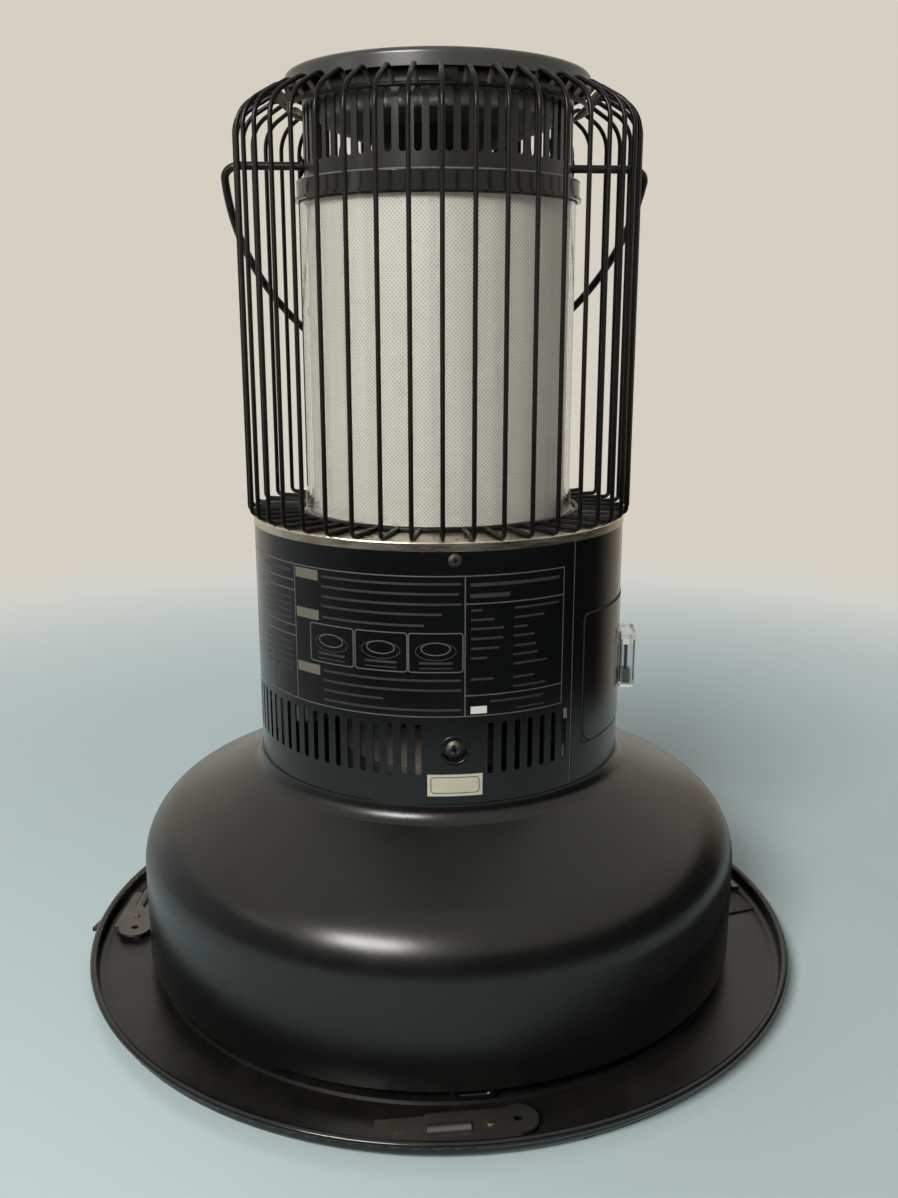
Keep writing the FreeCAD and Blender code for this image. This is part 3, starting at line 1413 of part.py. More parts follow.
# Burner: base with its glass clips, flame tubes, cap, cross pins, heat screen, glass and knob
base_ring = lathe("base_ring", [
    ("burner_ring_inner", "burner_bottom"),
    ("burner_wall", "burner_bottom"),
    ("burner_wall", "burner_flange_level"),
    ("burner_flange", "burner_flange_level"),
    ("burner_flange", "burner_deck"),
    ("burner_wall - burner_sheet", "burner_deck"),
    ("burner_wall - burner_sheet", "burner_ring_top"),
    ("burner_ring_inner", "burner_ring_top"),
])
igniter_window = lathe("igniter_window", [
    ("draught_radius", "burner_ring_top"),
    ("burner_flange + burner_sheet", "burner_ring_top"),
    ("burner_flange + burner_sheet", "burner_ring_top + window_height"),
    ("draught_radius", "burner_ring_top + window_height"),
], span="window_span", placement=around(size("lever_angle") + size("window_start")))
tab_start = size("glass_radius") + size("glass_clip_gap")
tab_level = size("burner_deck") - size("burner_sheet") / 2
clip_tab = block(
    "clip_tab", "glass_clip_sheet", "glass_clip_width", "glass_clip_height + burner_sheet / 2",
    Placement(Vector(tab_start, 0, tab_level), Rotation()))
guard_step = 360.0 / size("guard_count")
rod_angle = front + guard_step / 2
tab_places = [around(angle) for angle in (90.0, -90.0, rod_angle)]
glass_tabs = copies("glass_tabs", clip_tab, tab_places)
base_windowed = cut("base_windowed", base_ring, [igniter_window])
keep("burner_base", joined("burner_base", [base_windowed, glass_tabs]))

pin_angles = [30.0 + 360.0 * number / size("pin_count") for number in range(int(size("pin_count")))]
pin_hole_master = rod("pin_hole_master", "pin_radius + running_gap", "draught_radius / 2", "screen_inner")
pin_holes = copies("pin_holes", pin_hole_master, [radial(angle, size("pin_level")) for angle in pin_angles])
flame_hole = rod("flame_hole", "flame_hole_radius", "draught_radius / 2", "screen_inner")
flame_places = []
for level_number in range(int(size("flame_hole_rows"))):
    level = size("burner_deck") + size("flame_hole_first") + level_number * size("flame_hole_step")
    for number in range(int(size("flame_hole_count"))):
        turn = (number + 0.5 * (level_number % 2)) * 360.0 / size("flame_hole_count")
        flame_places.append(radial(turn, level))
flame_holes = copies("flame_holes", flame_hole, flame_places)
outer_flame_blank = tube(
    "outer_flame_blank", "outer_flame_radius - burner_sheet", "outer_flame_radius", "burner_ring_top",
    "burner_ring_top + outer_flame_height")
keep("outer_flame_tube", cut(
    "outer_flame_tube", outer_flame_blank, [flame_holes, pin_holes, igniter_window]))
inner_flame_blank = tube(
    "inner_flame_blank", "inner_flame_radius - burner_sheet", "inner_flame_radius", "inner_flame_bottom",
    "inner_flame_top")
keep("inner_flame_tube", cut("inner_flame_tube", inner_flame_blank, [flame_holes, pin_holes]))
keep("flame_cap", lathe("flame_cap", [
    ("0", "inner_flame_top"),
    ("flame_cap_radius", "inner_flame_top"),
    ("flame_cap_radius", "inner_flame_top + burner_sheet"),
    ("flame_cap_radius / 2", "inner_flame_top + flame_cap_height"),
    ("0", "inner_flame_top + flame_cap_height"),
]))
pin_master = rod("pin_master", "pin_radius", "inner_flame_radius - 3 * burner_sheet", "screen_radius")
pin_set = copies("pin_set", pin_master, [radial(angle, size("pin_level")) for angle in pin_angles])
pin_stop = tube(
    "pin_stop", "screen_inner", "screen_radius + pin_radius", "pin_level - 2 * pin_radius",
    "pin_level + 2 * pin_radius")
keep("burner_pins", cut("burner_pins", pin_set, [pin_stop]))
keep("heat_screen", tube(
    "heat_screen", "screen_inner", "screen_radius", "burner_deck", "screen_top"))
keep("glass_chimney", tube(
    "glass_chimney", "glass_inner", "glass_radius", "burner_deck", "burner_deck + glass_height"))
rod_axis = radial(rod_angle, size("burner_rod_level"))
rod_bar = rod(
    "rod_bar", "burner_rod_radius", "glass_radius + glass_clip_gap + glass_clip_sheet", "burner_rod_reach",
    rod_axis)
rod_ball = doc.addObject("Part::Sphere", "rod_ball")
rod_ball.setExpression("Radius", bound("burner_ball_radius"))
rod_ball.Placement = rod_axis.multiply(Placement(Vector(0, 0, size("burner_rod_reach")), Rotation()))
keep("burner_knob", joined("burner_knob", [rod_bar, rod_ball]))

# Guard: bent wires from the base ring up to the top ring, one left out at the burner knob
guard_circle = size("guard_circle")
guard_level = size("guard_base_level")
slope = math.radians(size("guard_slope"))
hook = math.radians(size("guard_hook_slope"))
peak = Vector(size("guard_peak_radius"), 0, size("guard_peak"))
shoulder_drop = (guard_circle - peak.x) * math.tan(slope)
hook_way = Vector(-math.cos(hook), 0, -math.sin(hook))
hook_end = peak + hook_way * size("guard_hook_length")
wire_reach = 2 * size("guard_wire_radius") + size("guard_weld_gap")
guard_points = [
    Vector(size("guard_ring_radius") + size("guard_wire_radius") + size("guard_weld_gap"), 0, guard_level),
    Vector(guard_circle, 0, guard_level),
    Vector(guard_circle, 0, peak.z - shoulder_drop),
    peak,
    hook_end,
]
guard_bends = [size("guard_base_bend"), size("guard_top_bend"), size("guard_hook_bend")]
guard_path = bent_path(guard_points, guard_bends)
guard_master = shaped("guard_master", wire_along(guard_path, size("guard_wire_radius")))
guard_places = []
for number in range(int(size("guard_count"))):
    angle = (number + 0.5) * guard_step + size("guard_turn")
    if abs(angle - rod_angle) > guard_step / 4:
        guard_places.append(around(angle))
keep("guard_wires", copies("guard_wires", guard_master, guard_places))


def ring_wire(label, circle, level):
    """A closed ring of guard wire."""
    ring = doc.addObject("Part::Torus", label)
    ring.Radius1 = circle
    ring.setExpression("Radius2", bound("guard_wire_radius"))
    ring.Placement.Base.z = level
    return ring


top_ring_spot = hook_end + hook_way * (size("guard_wire_radius") + size("guard_weld_gap"))
keep("guard_base_ring", ring_wire("guard_base_ring", size("guard_ring_radius"), guard_level))
keep("guard_top_ring", ring_wire("guard_top_ring", top_ring_spot.x, top_ring_spot.z))

# Vent head with its collar, the deflector cone inside it, the top plate and its brackets
vent_blank = lathe("vent_blank", [
    ("collar_inner", "collar_rise"),
    ("collar_outer + collar_lip", "collar_rise"),
    ("collar_outer + collar_lip", "collar_rise + collar_lip_height"),
    ("collar_outer", "collar_rise + collar_lip_height"),
    ("collar_outer", "collar_top"),
    ("vent_radius", "collar_top"),
    ("vent_radius", "plate_under"),
    ("vent_radius - vent_flange", "plate_under"),
    ("vent_radius - vent_flange", "plate_under - vent_sheet"),
    ("vent_inner", "plate_under - vent_sheet"),
    ("vent_inner", "collar_top - collar_sheet"),
    ("collar_inner", "collar_top - collar_sheet"),
], rounds=[(4, "collar_sheet")])
vent_slot = slot_shape(
    size("vent_slot_width"), size("vent_slot_length"), size("vent_inner") - 5, size("vent_radius") + 5)
vent_step = 360.0 / size("vent_slot_count")
vent_level = size("collar_rise") + size("vent_slot_rise")
vent_cutters = []
for number in range(int(size("vent_slot_count"))):
    angle = number * vent_step
    if abs(abs(angle - 180) - 90) > vent_step / 2:
        vent_cutters.append(moved(vent_slot, around(angle, vent_level)))
vent_slots = shaped("vent_slots", Part.makeCompound(vent_cutters))
bail_hole = rod("bail_hole", "bail_bush_radius", "liner_radius", "collar_outer + collar_lip")
bail_sides = [radial(90, size("bail_height")), radial(-90, size("bail_height"))]
bail_holes = copies("bail_holes", bail_hole, bail_sides)
keep("vent_head", cut("vent_head", vent_blank, [vent_slots, bail_holes]))
keep("vent_liner", lathe("vent_liner", [
    ("0", "liner_low"),
    ("liner_flat_radius", "liner_low"),
    ("liner_radius", "liner_bend"),
    ("liner_radius", "plate_under - vent_sheet"),
    ("liner_radius - liner_sheet", "plate_under - vent_sheet"),
    ("liner_radius - liner_sheet", "liner_bend + liner_sheet"),
    ("liner_flat_radius", "liner_low + liner_sheet"),
    ("0", "liner_low + liner_sheet"),
], rounds=[(2, "liner_sheet * 3")]))
keep("top_plate", lathe("top_plate", [
    ("0", "plate_under"),
    ("plate_radius - plate_sheet", "plate_under"),
    ("plate_radius - plate_sheet", "plate_rim_bottom"),
    ("plate_radius", "plate_rim_bottom"),
    ("plate_radius", "plate_top"),
    ("0", "plate_top"),
], rounds=[(4, "plate_round"), (1, "plate_round - plate_sheet")]))
bracket_low = top_ring_spot.z + 0.75 * size("guard_wire_radius")
bracket_inner = top_ring_spot.x - 0.7 * size("guard_wire_radius") - size("plate_bracket_sheet")
bracket_spot = Vector(bracket_inner, 0, bracket_low)
plate_bracket = shaped("plate_bracket", Part.makeBox(
    size("plate_bracket_sheet"),
    size("plate_bracket_width"),
    size("plate_under") - bracket_low,
    bracket_spot - Vector(0, size("plate_bracket_width") / 2, 0),
))
plate_bracket_step = 360.0 / size("plate_bracket_count")
plate_bracket_turns = [plate_bracket_step * number for number in range(int(size("plate_bracket_count")))]
keep("plate_brackets", copies(
    "plate_brackets", plate_bracket, [around(angle) for angle in plate_bracket_turns]))

# Bail handle: a wire bow on two bushes in the vent head, hanging forward at rest
bush_master = lathe("bush_master", [
    ("bail_wire_radius + running_gap", "vent_inner - bail_bush_lip"),
    ("bail_bush_radius - running_gap", "vent_inner - bail_bush_lip"),
    ("bail_bush_radius - running_gap", "vent_radius + bail_bush_lip / 2"),
    ("bail_bush_flange", "vent_radius + bail_bush_lip / 2"),
    ("bail_bush_flange", "vent_radius + bail_bush_lip * 3 / 2"),
    ("bail_wire_radius + running_gap", "vent_radius + bail_bush_lip * 3 / 2"),
])
keep("bail_bushes", copies("bail_bushes", bush_master, bail_sides))
half_width = size("bail_half_width")
corner_round = size("bail_corner")
end_round = size("bail_end_round")
bow_run = size("bail_reach") - corner_round
side_round = (half_width ** 2 + bow_run ** 2 - 2 * bow_run * end_round) / (2 * (half_width - end_round))
end_centre = Vector(0, size("bail_reach") - end_round, 0)
side_centre = Vector(half_width - side_round, corner_round, 0)
meet = math.atan2(end_centre.y - side_centre.y, end_centre.x - side_centre.x)


def on_circle(centre, radius, angle):
    """A point on a circle in the bow's plane."""
    return centre + Vector(radius * math.cos(angle), radius * math.sin(angle), 0)


def mirrored(point):
    """The same point on the other side of the bow."""
    return Vector(-point.x, point.y, 0)


end_start = Vector(size("bail_inner"), 0, 0)
corner_start = Vector(half_width - corner_round, 0, 0)
corner_middle = on_circle(Vector(half_width - corner_round, corner_round, 0), corner_round, -math.pi / 4)
corner_end = Vector(half_width, corner_round, 0)
side_middle = on_circle(side_centre, side_round, meet / 2)
side_end = on_circle(side_centre, side_round, meet)
bow_end = on_circle(end_centre, end_round, math.pi / 2)
bow_edges = [
    Part.LineSegment(end_start, corner_start).toShape(),
    Part.Arc(corner_start, corner_middle, corner_end).toShape(),
    Part.Arc(corner_end, side_middle, side_end).toShape(),
    Part.Arc(side_end, bow_end, mirrored(side_end)).toShape(),
    Part.Arc(mirrored(side_end), mirrored(side_middle), mirrored(corner_end)).toShape(),
    Part.Arc(mirrored(corner_end), mirrored(corner_middle), mirrored(corner_start)).toShape(),
    Part.LineSegment(mirrored(corner_start), mirrored(end_start)).toShape(),
]
bow = wire_along(Part.Wire(bow_edges), size("bail_wire_radius"))
bail_heads = []
for sign in (-1, 1):
    head_spot = Vector(sign * size("bail_inner"), 0, 0)
    bail_heads.append(Part.makeCylinder(
        size("bail_head_radius"), size("bail_head"), head_spot, Vector(-sign, 0, 0)))
bail = shaped("bail_handle", bow.fuse(bail_heads).removeSplitter())
hang = Rotation(Vector(1, 0, 0), 180 + size("bail_tilt"))
bail.Placement = Placement(Vector(0, 0, size("bail_height")), hang)
keep("bail_handle", bail)

# Test every object, then write one file for each sub-part
doc.recompute()
for item in doc.Objects:
    faults = [state for state in item.State if state in ("Invalid", "Error")]
    if faults:
        raise RuntimeError("%s did not build: %s" % (item.Label, faults))
for label, piece in parts.items():
    if piece.Shape.isNull() or not piece.Shape.isValid() or not piece.Shape.Solids:
        raise RuntimeError("%s has no sound solid" % label)
os.makedirs("parts", exist_ok=True)
for label, piece in parts.items():
    piece.Shape.exportStep("parts/%s.step" % label)
    box = piece.Shape.BoundBox
    print("%-18s %3d solids %10.1f mm3  z %6.1f to %6.1f" % (
        label, len(piece.Shape.Solids), piece.Shape.Volume, box.ZMin, box.ZMax))
print(len(parts), "sub-parts")
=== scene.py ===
import math

import bmesh
import bpy
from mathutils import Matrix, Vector


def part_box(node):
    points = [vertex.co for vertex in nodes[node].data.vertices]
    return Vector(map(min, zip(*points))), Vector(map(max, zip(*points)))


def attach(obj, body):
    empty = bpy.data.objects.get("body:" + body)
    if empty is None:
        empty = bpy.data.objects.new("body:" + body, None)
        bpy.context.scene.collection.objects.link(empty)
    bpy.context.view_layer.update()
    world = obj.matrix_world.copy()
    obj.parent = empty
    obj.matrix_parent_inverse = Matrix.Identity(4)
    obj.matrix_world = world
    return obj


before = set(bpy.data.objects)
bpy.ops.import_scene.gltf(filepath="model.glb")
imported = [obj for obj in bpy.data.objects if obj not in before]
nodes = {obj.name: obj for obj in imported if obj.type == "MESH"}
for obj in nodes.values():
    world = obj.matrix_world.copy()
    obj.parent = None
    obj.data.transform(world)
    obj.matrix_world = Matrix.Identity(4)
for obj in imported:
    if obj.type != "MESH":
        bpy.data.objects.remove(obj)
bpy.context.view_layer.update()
scene = bpy.context.scene
MM = 0.001


def box_mm(name):
    """A node's lowest and highest corners, in millimetres."""
    return [Vector(corner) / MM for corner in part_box(name)]


# Camera, as fitted to the photograph
VIEW_TURN = math.radians(4.8)
VIEW_PITCH = math.radians(13.898)
VIEW_DISTANCE = 0.6046
VIEW_HEIGHT = 0.3469
VIEW_OFFSET = 0.005365
FOCAL_PIXELS = 1152.9
IMAGE_HEIGHT = 1198
SENSOR = 36.0

view_out = Vector((math.sin(VIEW_TURN), math.cos(VIEW_TURN), 0))
view_right = Vector((-math.cos(VIEW_TURN), math.sin(VIEW_TURN), 0))


def seen_from(left, lift, distance, height):
    """A place on the stage: degrees left of the camera's line, degrees up, metres away, over a height."""
    side = math.radians(left)
    rise = math.radians(lift)
    flat = view_out * math.cos(side) - view_right * math.sin(side)
    return (flat * math.cos(rise) + Vector((0, 0, math.sin(rise)))) * distance + Vector((0, 0, height))


camera_data = bpy.data.cameras.new("photo_camera")
camera_data.sensor_fit = "VERTICAL"
camera_data.sensor_height = SENSOR
camera_data.lens = FOCAL_PIXELS / IMAGE_HEIGHT * SENSOR
camera_data.clip_start = 0.01
camera = bpy.data.objects.new("photo_camera", camera_data)
scene.collection.objects.link(camera)
camera.location = view_out * VIEW_DISTANCE + view_right * VIEW_OFFSET + Vector((0, 0, VIEW_HEIGHT))
look = -view_out * math.cos(VIEW_PITCH) - Vector((0, 0, math.sin(VIEW_PITCH)))
camera.rotation_euler = look.to_track_quat("-Z", "Y").to_euler()
scene.camera = camera
scene.view_settings.view_transform = "Standard"


# Soft studio light
LAMP_BASE = 0.15
LAMP_AIM = 0.20


def softbox(name, left, lift, distance, width, height, power, colour):
    """A rectangular lamp that faces the heater."""
    data = bpy.data.lights.new(name, "AREA")
    data.shape = "RECTANGLE"
    data.size = width
    data.size_y = height
    data.energy = power
    data.color = colour
    lamp = bpy.data.objects.new(name, data)
    scene.collection.objects.link(lamp)
    lamp.location = seen_from(left, lift, distance, LAMP_BASE)
    aim = Vector((0, 0, LAMP_AIM)) - lamp.location
    lamp.rotation_euler = aim.to_track_quat("-Z", "Y").to_euler()
    lamp.visible_camera = False
    return lamp


softbox("key_softbox", left=26, lift=33, distance=1.7, width=0.66, height=0.36, power=24.0,
        colour=(1.0, 0.97, 0.92))
softbox("side_panel", left=67, lift=6, distance=1.5, width=0.45, height=1.3, power=1.3,
        colour=(0.97, 0.98, 1.0))
top_panel = softbox("top_panel", left=150, lift=62, distance=1.9, width=0.9, height=0.9, power=5.0,
                    colour=(1.0, 0.98, 0.95))
top_panel.visible_glossy = False

world = bpy.data.worlds.new("room")
scene.world = world
world.use_nodes = True
ROOM_COLOUR = (0.86, 0.84, 0.80, 1)
ROOM_LIGHT = 0.20
ROOM_SEEN = 0.80
room_nodes = world.node_tree.nodes
room_links = world.node_tree.links
room = room_nodes["Background"]
room.inputs["Color"].default_value = ROOM_COLOUR
room_path = room_nodes.new("ShaderNodeLightPath").outputs
room_seen = room_path["Is Camera Ray"]
for ray in ("Is Glossy Ray", "Is Transmission Ray"):
    either = room_nodes.new("ShaderNodeMath")
    either.operation = "MAXIMUM"
    room_links.new(room_seen, either.inputs[0])
    room_links.new(room_path[ray], either.inputs[1])
    room_seen = either.outputs[0]
room_strength = room_nodes.new("ShaderNodeMapRange")
room_strength.inputs["To Min"].default_value = ROOM_LIGHT
room_strength.inputs["To Max"].default_value = ROOM_SEEN
room_links.new(room_seen, room_strength.inputs["Value"])
room_links.new(room_strength.outputs[0], room.inputs["Strength"])


class Finish:
    """A procedural material: a shader with its constants, and textures in the heater's own metres."""

    def __init__(self, name, colour, roughness, metallic=0.0, **constants):
        self.material = bpy.data.materials.new(name)
        self.material.use_nodes = True
        self.tree = self.material.node_tree
        self.shader = self.tree.nodes["Principled BSDF"]
        self.set("Base Color", (*colour, 1))
        self.set("Roughness", roughness)
        self.set("Metallic", metallic)
        for socket, value in constants.items():
            self.set(socket.replace("_", " "), value)
        self.place = self.tree.nodes.new("ShaderNodeTexCoord").outputs["Object"]
        split = self.tree.nodes.new("ShaderNodeSeparateXYZ")
        self.tree.links.new(self.place, split.inputs[0])
        self.x, self.y, self.z = split.outputs

    def set(self, socket, value):
        """Ties a shader socket to a node's output or to a constant."""
        self.feed(self.shader.inputs[socket], value)

    def feed(self, socket, value):
        """Gives any socket a link or a constant."""
        if isinstance(value, bpy.types.NodeSocket):
            self.tree.links.new(value, socket)
        else:
            socket.default_value = value

    def math(self, operation, first, second=0.0):
        """One arithmetic step."""
        node = self.tree.nodes.new("ShaderNodeMath")
        node.operation = operation
        for socket, value in zip(node.inputs, (first, second)):
            self.feed(socket, value)
        return node.outputs[0]

    def stretched(self, scale):
        """The heater's metres, scaled by axis."""
        node = self.tree.nodes.new("ShaderNodeVectorMath")
        node.operation = "MULTIPLY"
        self.feed(node.inputs[0], self.place)
        node.inputs[1].default_value = scale
        return node.outputs[0]

    def noise(self, scale, detail=2.0, roughness=0.5, stretch=None):
        """Cloudy noise from 0 to 1; scale counts blotches in a metre."""
        node = self.tree.nodes.new("ShaderNodeTexNoise")
        self.feed(node.inputs["Vector"], self.stretched(stretch) if stretch else self.place)
        node.inputs["Scale"].default_value = scale
        node.inputs["Detail"].default_value = detail
        node.inputs["Roughness"].default_value = roughness
        return node.outputs["Fac"]

    def span(self, value, low, high, to_low=0.0, to_high=1.0):
        """Spreads a value between two limits over another range, and stops at the limits."""
        node = self.tree.nodes.new("ShaderNodeMapRange")
        for socket, number in zip(node.inputs, (value, low, high, to_low, to_high)):
            self.feed(socket, number)
        return node.outputs[0]

    def mix(self, share, first, second):
        """One colour over another."""
        node = self.tree.nodes.new("ShaderNodeMix")
        node.data_type = "RGBA"
        self.feed(node.inputs[0], share)
        for socket, value in zip((node.inputs[6], node.inputs[7]), (first, second)):
            self.feed(socket, value if isinstance(value, bpy.types.NodeSocket) else (*value, 1))
        return node.outputs[2]

    def upward(self):
        """How far the surface faces up, from 0 to 1."""
        geometry = self.tree.nodes.new("ShaderNodeNewGeometry")
        split = self.tree.nodes.new("ShaderNodeSeparateXYZ")
        self.tree.links.new(geometry.outputs["Normal"], split.inputs[0])
        return self.span(split.outputs[2], 0.0, 1.0)

    def angle(self):
        """Degrees round the heater from the rear centre line, positive towards -X."""
        turn = self.math("ARCTAN2", self.math("MULTIPLY", self.x, -1.0), self.y)
        return self.math("MULTIPLY", turn, 180 / math.pi)

    def reach(self):
        """The distance from the heater's axis."""
        square = self.math("ADD", self.math("POWER", self.x, 2.0), self.math("POWER", self.y, 2.0))
        return self.math("SQRT", square)

    def bump(self, height, strength, depth):
        """Fine relief, its depth in metres."""
        node = self.tree.nodes.new("ShaderNodeBump")
        node.inputs["Strength"].default_value = strength
        node.inputs["Distance"].default_value = depth
        self.feed(node.inputs["Height"], height)
        self.set("Normal", node.outputs[0])


SPECK = 0.35
PEEL_DEPTH = 0.06 * MM


def black_paint(name, colour, dust, roughness, peel=0.35, dust_amount=0.1, grain=1400, shine=0.5):
    """Stoved black paint with a fine peel, patchy sheen, dust on what faces up and a few specks."""
    finish = Finish(name, colour, roughness, Specular_IOR_Level=shine)
    patch = finish.noise(14, detail=4, roughness=0.6)
    finish.set("Roughness", finish.span(patch, 0.3, 0.7, roughness - 0.04, roughness + 0.05))
    clouds = finish.span(finish.noise(55, detail=6, roughness=0.7), 0.35, 0.75)
    drift = finish.math("MULTIPLY", finish.upward(), clouds)
    specks = finish.span(finish.noise(700, detail=2, roughness=0.6), 0.79, 0.83, 0.0, SPECK)
    veil = finish.math("MAXIMUM", finish.math("MULTIPLY", drift, dust_amount), specks)
    finish.set("Base Color", finish.mix(veil, colour, dust))
    finish.bump(finish.noise(grain, detail=2, roughness=0.5), peel, PEEL_DEPTH)
    return finish


# Finishes
DUST = (0.09, 0.082, 0.072)
PLATE_DUST = (0.12, 0.115, 0.11)
RUST = (0.12, 0.05, 0.022)
RUST_ROUGH = 0.85
SOUND_GAIN = 1.6
SMEAR_LOSS = 0.97
GUARD_BLACK = (0.0028, 0.0027, 0.0030)

tank_paint = black_paint("tank_paint", (0.0042, 0.0042, 0.0042), DUST, 0.27,
                         peel=0.12, dust_amount=0.05, grain=1400, shine=0.52)
guard_paint = black_paint("guard_paint", GUARD_BLACK, DUST, 0.30,
                          peel=0.2, dust_amount=0.05, grain=2200, shine=0.22)
# The guard's top ring and the plate brackets are painted near-black: painted shade, where they sit in the
# shadow under the top plate
ring_paint = black_paint("ring_paint", (0.0030, 0.0028, 0.0028), DUST, 0.40,
                         peel=0.2, dust_amount=0.05, grain=2200, shine=0.2)
head_paint = black_paint("head_paint", (0.007, 0.0073, 0.0078), DUST, 0.26,
                         peel=0.2, dust_amount=0.12, grain=1400, shine=0.45)
plate_paint = black_paint("plate_paint", (0.028, 0.029, 0.030), PLATE_DUST, 0.30,
                          peel=0.3, dust_amount=0.3, grain=1400, shine=0.6)
tray_paint = black_paint("tray_paint", (0.006, 0.0058, 0.0055), DUST, 0.33,
                         peel=0.3, dust_amount=0.12, grain=900)
casing_paint = black_paint("casing_paint", (0.0035, 0.0045, 0.0045), DUST, 0.19,
                           peel=0.12, dust_amount=0.03, grain=1800, shine=0.42)
plastic_black = black_paint("plastic_black", (0.008, 0.008, 0.0085), DUST, 0.42,
                            peel=0.5, dust_amount=0.08, grain=2600)
cover_plastic = black_paint("cover_plastic", (0.004, 0.004, 0.004), DUST, 0.16,
                            peel=0.1, dust_amount=0.03, grain=1500)


# The tray's rolled rim is smoother than its floor
TRAY_RIM = 9.4 * MM
TRAY_FLOOR_ROUGH = 0.33
TRAY_RIM_ROUGH = 0.17
tray_paint.set("Roughness", tray_paint.span(
    tray_paint.z, TRAY_RIM - 1 * MM, TRAY_RIM, TRAY_FLOOR_ROUGH, TRAY_RIM_ROUGH))


def by_height(finish, levels, colours, blend=0.4 * MM):
    """Gives bands up the heater their colours, own tones or painted light and shade, one more colour than
    levels.
    """
    shade = finish.mix(0.0, colours[0], colours[0])
    for level, colour in zip(levels, colours[1:]):
        over = finish.span(finish.z, level - blend, level + blend)
        cloud = finish.span(finish.noise(70, detail=4), 0.2, 0.8, 0.8, 1.0)
        shade = finish.mix(finish.math("MULTIPLY", over, cloud), shade, colour)
    finish.set("Base Color", shade)


# The glossy collar under the vent, the vent itself, and the throat over its slots painted near-black as
# painted shade under the top plate
COLLAR_TOP = 410 * MM
THROAT = 444 * MM
COLLAR_BLACK = (0.002, 0.0021, 0.0022)
VENT_BLACK = (0.0095, 0.0097, 0.010)
THROAT_SHADE = (0.002, 0.002, 0.002)
COLLAR_ROUGH = 0.15
VENT_ROUGH = 0.27
by_height(head_paint, (COLLAR_TOP, THROAT), (COLLAR_BLACK, VENT_BLACK, THROAT_SHADE))
head_paint.set("Roughness", head_paint.span(
    head_paint.z, COLLAR_TOP - 1 * MM, COLLAR_TOP, COLLAR_ROUGH, VENT_ROUGH))


def heat_brown(finish, colour, stain, low, outer, inner):
    """Browns, in clouds, what lies over a height and inside a radius."""
    high = finish.math("GREATER_THAN", finish.z, low)
    near = finish.math("MULTIPLY", finish.span(finish.reach(), outer, inner), high)
    hot = finish.math("MULTIPLY", near, finish.span(finish.noise(60, detail=4), 0.3, 0.6, 0.5, 1.0))
    finish.set("Base Color", finish.mix(hot, colour, stain))


def worn_steel(name, colour, rust_from, rust_to, roughness):
    """Dark steel, grey where it is sound and rusty in small patches."""
    finish = black_paint(name, colour, DUST, roughness, peel=0.3, dust_amount=0.2)
    rusty = finish.span(finish.noise(150, detail=6, roughness=0.7), rust_from, rust_to)
    tone = finish.span(finish.noise(35, detail=3, roughness=0.6), 0.35, 0.7)
    sound = finish.mix(tone, colour, tuple(SOUND_GAIN * part for part in colour))
    finish.set("Base Color", finish.mix(rusty, sound, RUST))
    finish.set("Roughness", finish.span(rusty, 0, 1, roughness, RUST_ROUGH))
    return finish


HOOK_STAIN = (0.075, 0.064, 0.050)
HOOK_LOW = 430 * MM
HOOK_OUTER = 79.5 * MM
HOOK_INNER = 76.5 * MM
heat_brown(guard_paint, GUARD_BLACK, HOOK_STAIN, HOOK_LOW, HOOK_OUTER, HOOK_INNER)
clip_paint = worn_steel("clip_paint", (0.10, 0.095, 0.09), rust_from=0.66, rust_to=0.74, roughness=0.25)
CLIP_METALLIC = 0.8
clip_paint.set("Metallic", CLIP_METALLIC)
clip_base_paint = worn_steel("clip_base_paint", (0.026, 0.024, 0.021),
                             rust_from=0.56, rust_to=0.66, roughness=0.5)


def bare_metal(name, colour, roughness, stain, grain=(30, 30, 900), stain_share=0.4):
    """Metal with drawn grain and cloudy stains."""
    finish = Finish(name, colour, roughness, 1.0)
    streak = finish.noise(1.0, detail=3, roughness=0.6, stretch=grain)
    cloud = finish.span(finish.noise(28, detail=5, roughness=0.65), 0.45, 0.75, 0.0, stain_share)
    finish.set("Base Color", finish.mix(cloud, colour, stain))
    finish.set("Roughness", finish.span(streak, 0.3, 0.7, roughness - 0.06, roughness + 0.1))
    finish.bump(streak, strength=0.12, depth=0.05 * MM)
    return finish


deck_nickel = bare_metal("deck_nickel", (0.62, 0.57, 0.47), 0.27, (0.26, 0.20, 0.13),
                         grain=(40, 40, 500), stain_share=0.85)
plain_steel = bare_metal("plain_steel", (0.42, 0.41, 0.40), 0.38, (0.22, 0.19, 0.16))
zinc_screw = bare_metal("zinc_screw", (0.17, 0.155, 0.13), 0.5, (0.09, 0.07, 0.05),
                        grain=(200, 200, 400), stain_share=0.7)
rivet_tan = bare_metal("rivet_tan", (0.24, 0.18, 0.11), 0.45, (0.12, 0.08, 0.05),
                       grain=(200, 200, 200), stain_share=0.6)
liner_metal = bare_metal("liner_metal", (0.17, 0.155, 0.13), 0.5, (0.08, 0.06, 0.045),
                         grain=(60, 60, 60), stain_share=0.6)
inner_steel = bare_metal("inner_steel", (0.12, 0.112, 0.10), 0.5, (0.06, 0.045, 0.035))
brass = bare_metal("brass", (0.52, 0.37, 0.17), 0.34, (0.17, 0.10, 0.05),
                   grain=(200, 200, 200), stain_share=0.6)
burner_steel = bare_metal("burner_steel", (0.44, 0.42, 0.39), 0.42, (0.20, 0.13, 0.09))
bail_metal = bare_metal("bail_metal", (0.035, 0.034, 0.033), 0.36, (0.09, 0.06, 0.045),
                        grain=(200, 200, 200), stain_share=0.5)

# The liner's upright wall is painted paler than its cone, painted light on the wall and painted shade on
# the cone; the top screw is darker than those lower down
LINER_BEND = 431.5 * MM
by_height(liner_metal, (LINER_BEND,), ((0.20, 0.18, 0.15), (0.42, 0.41, 0.38)))
DARK_SCREW = 220 * MM
by_height(zinc_screw, (DARK_SCREW,), ((0.17, 0.155, 0.13), (0.065, 0.064, 0.061)))
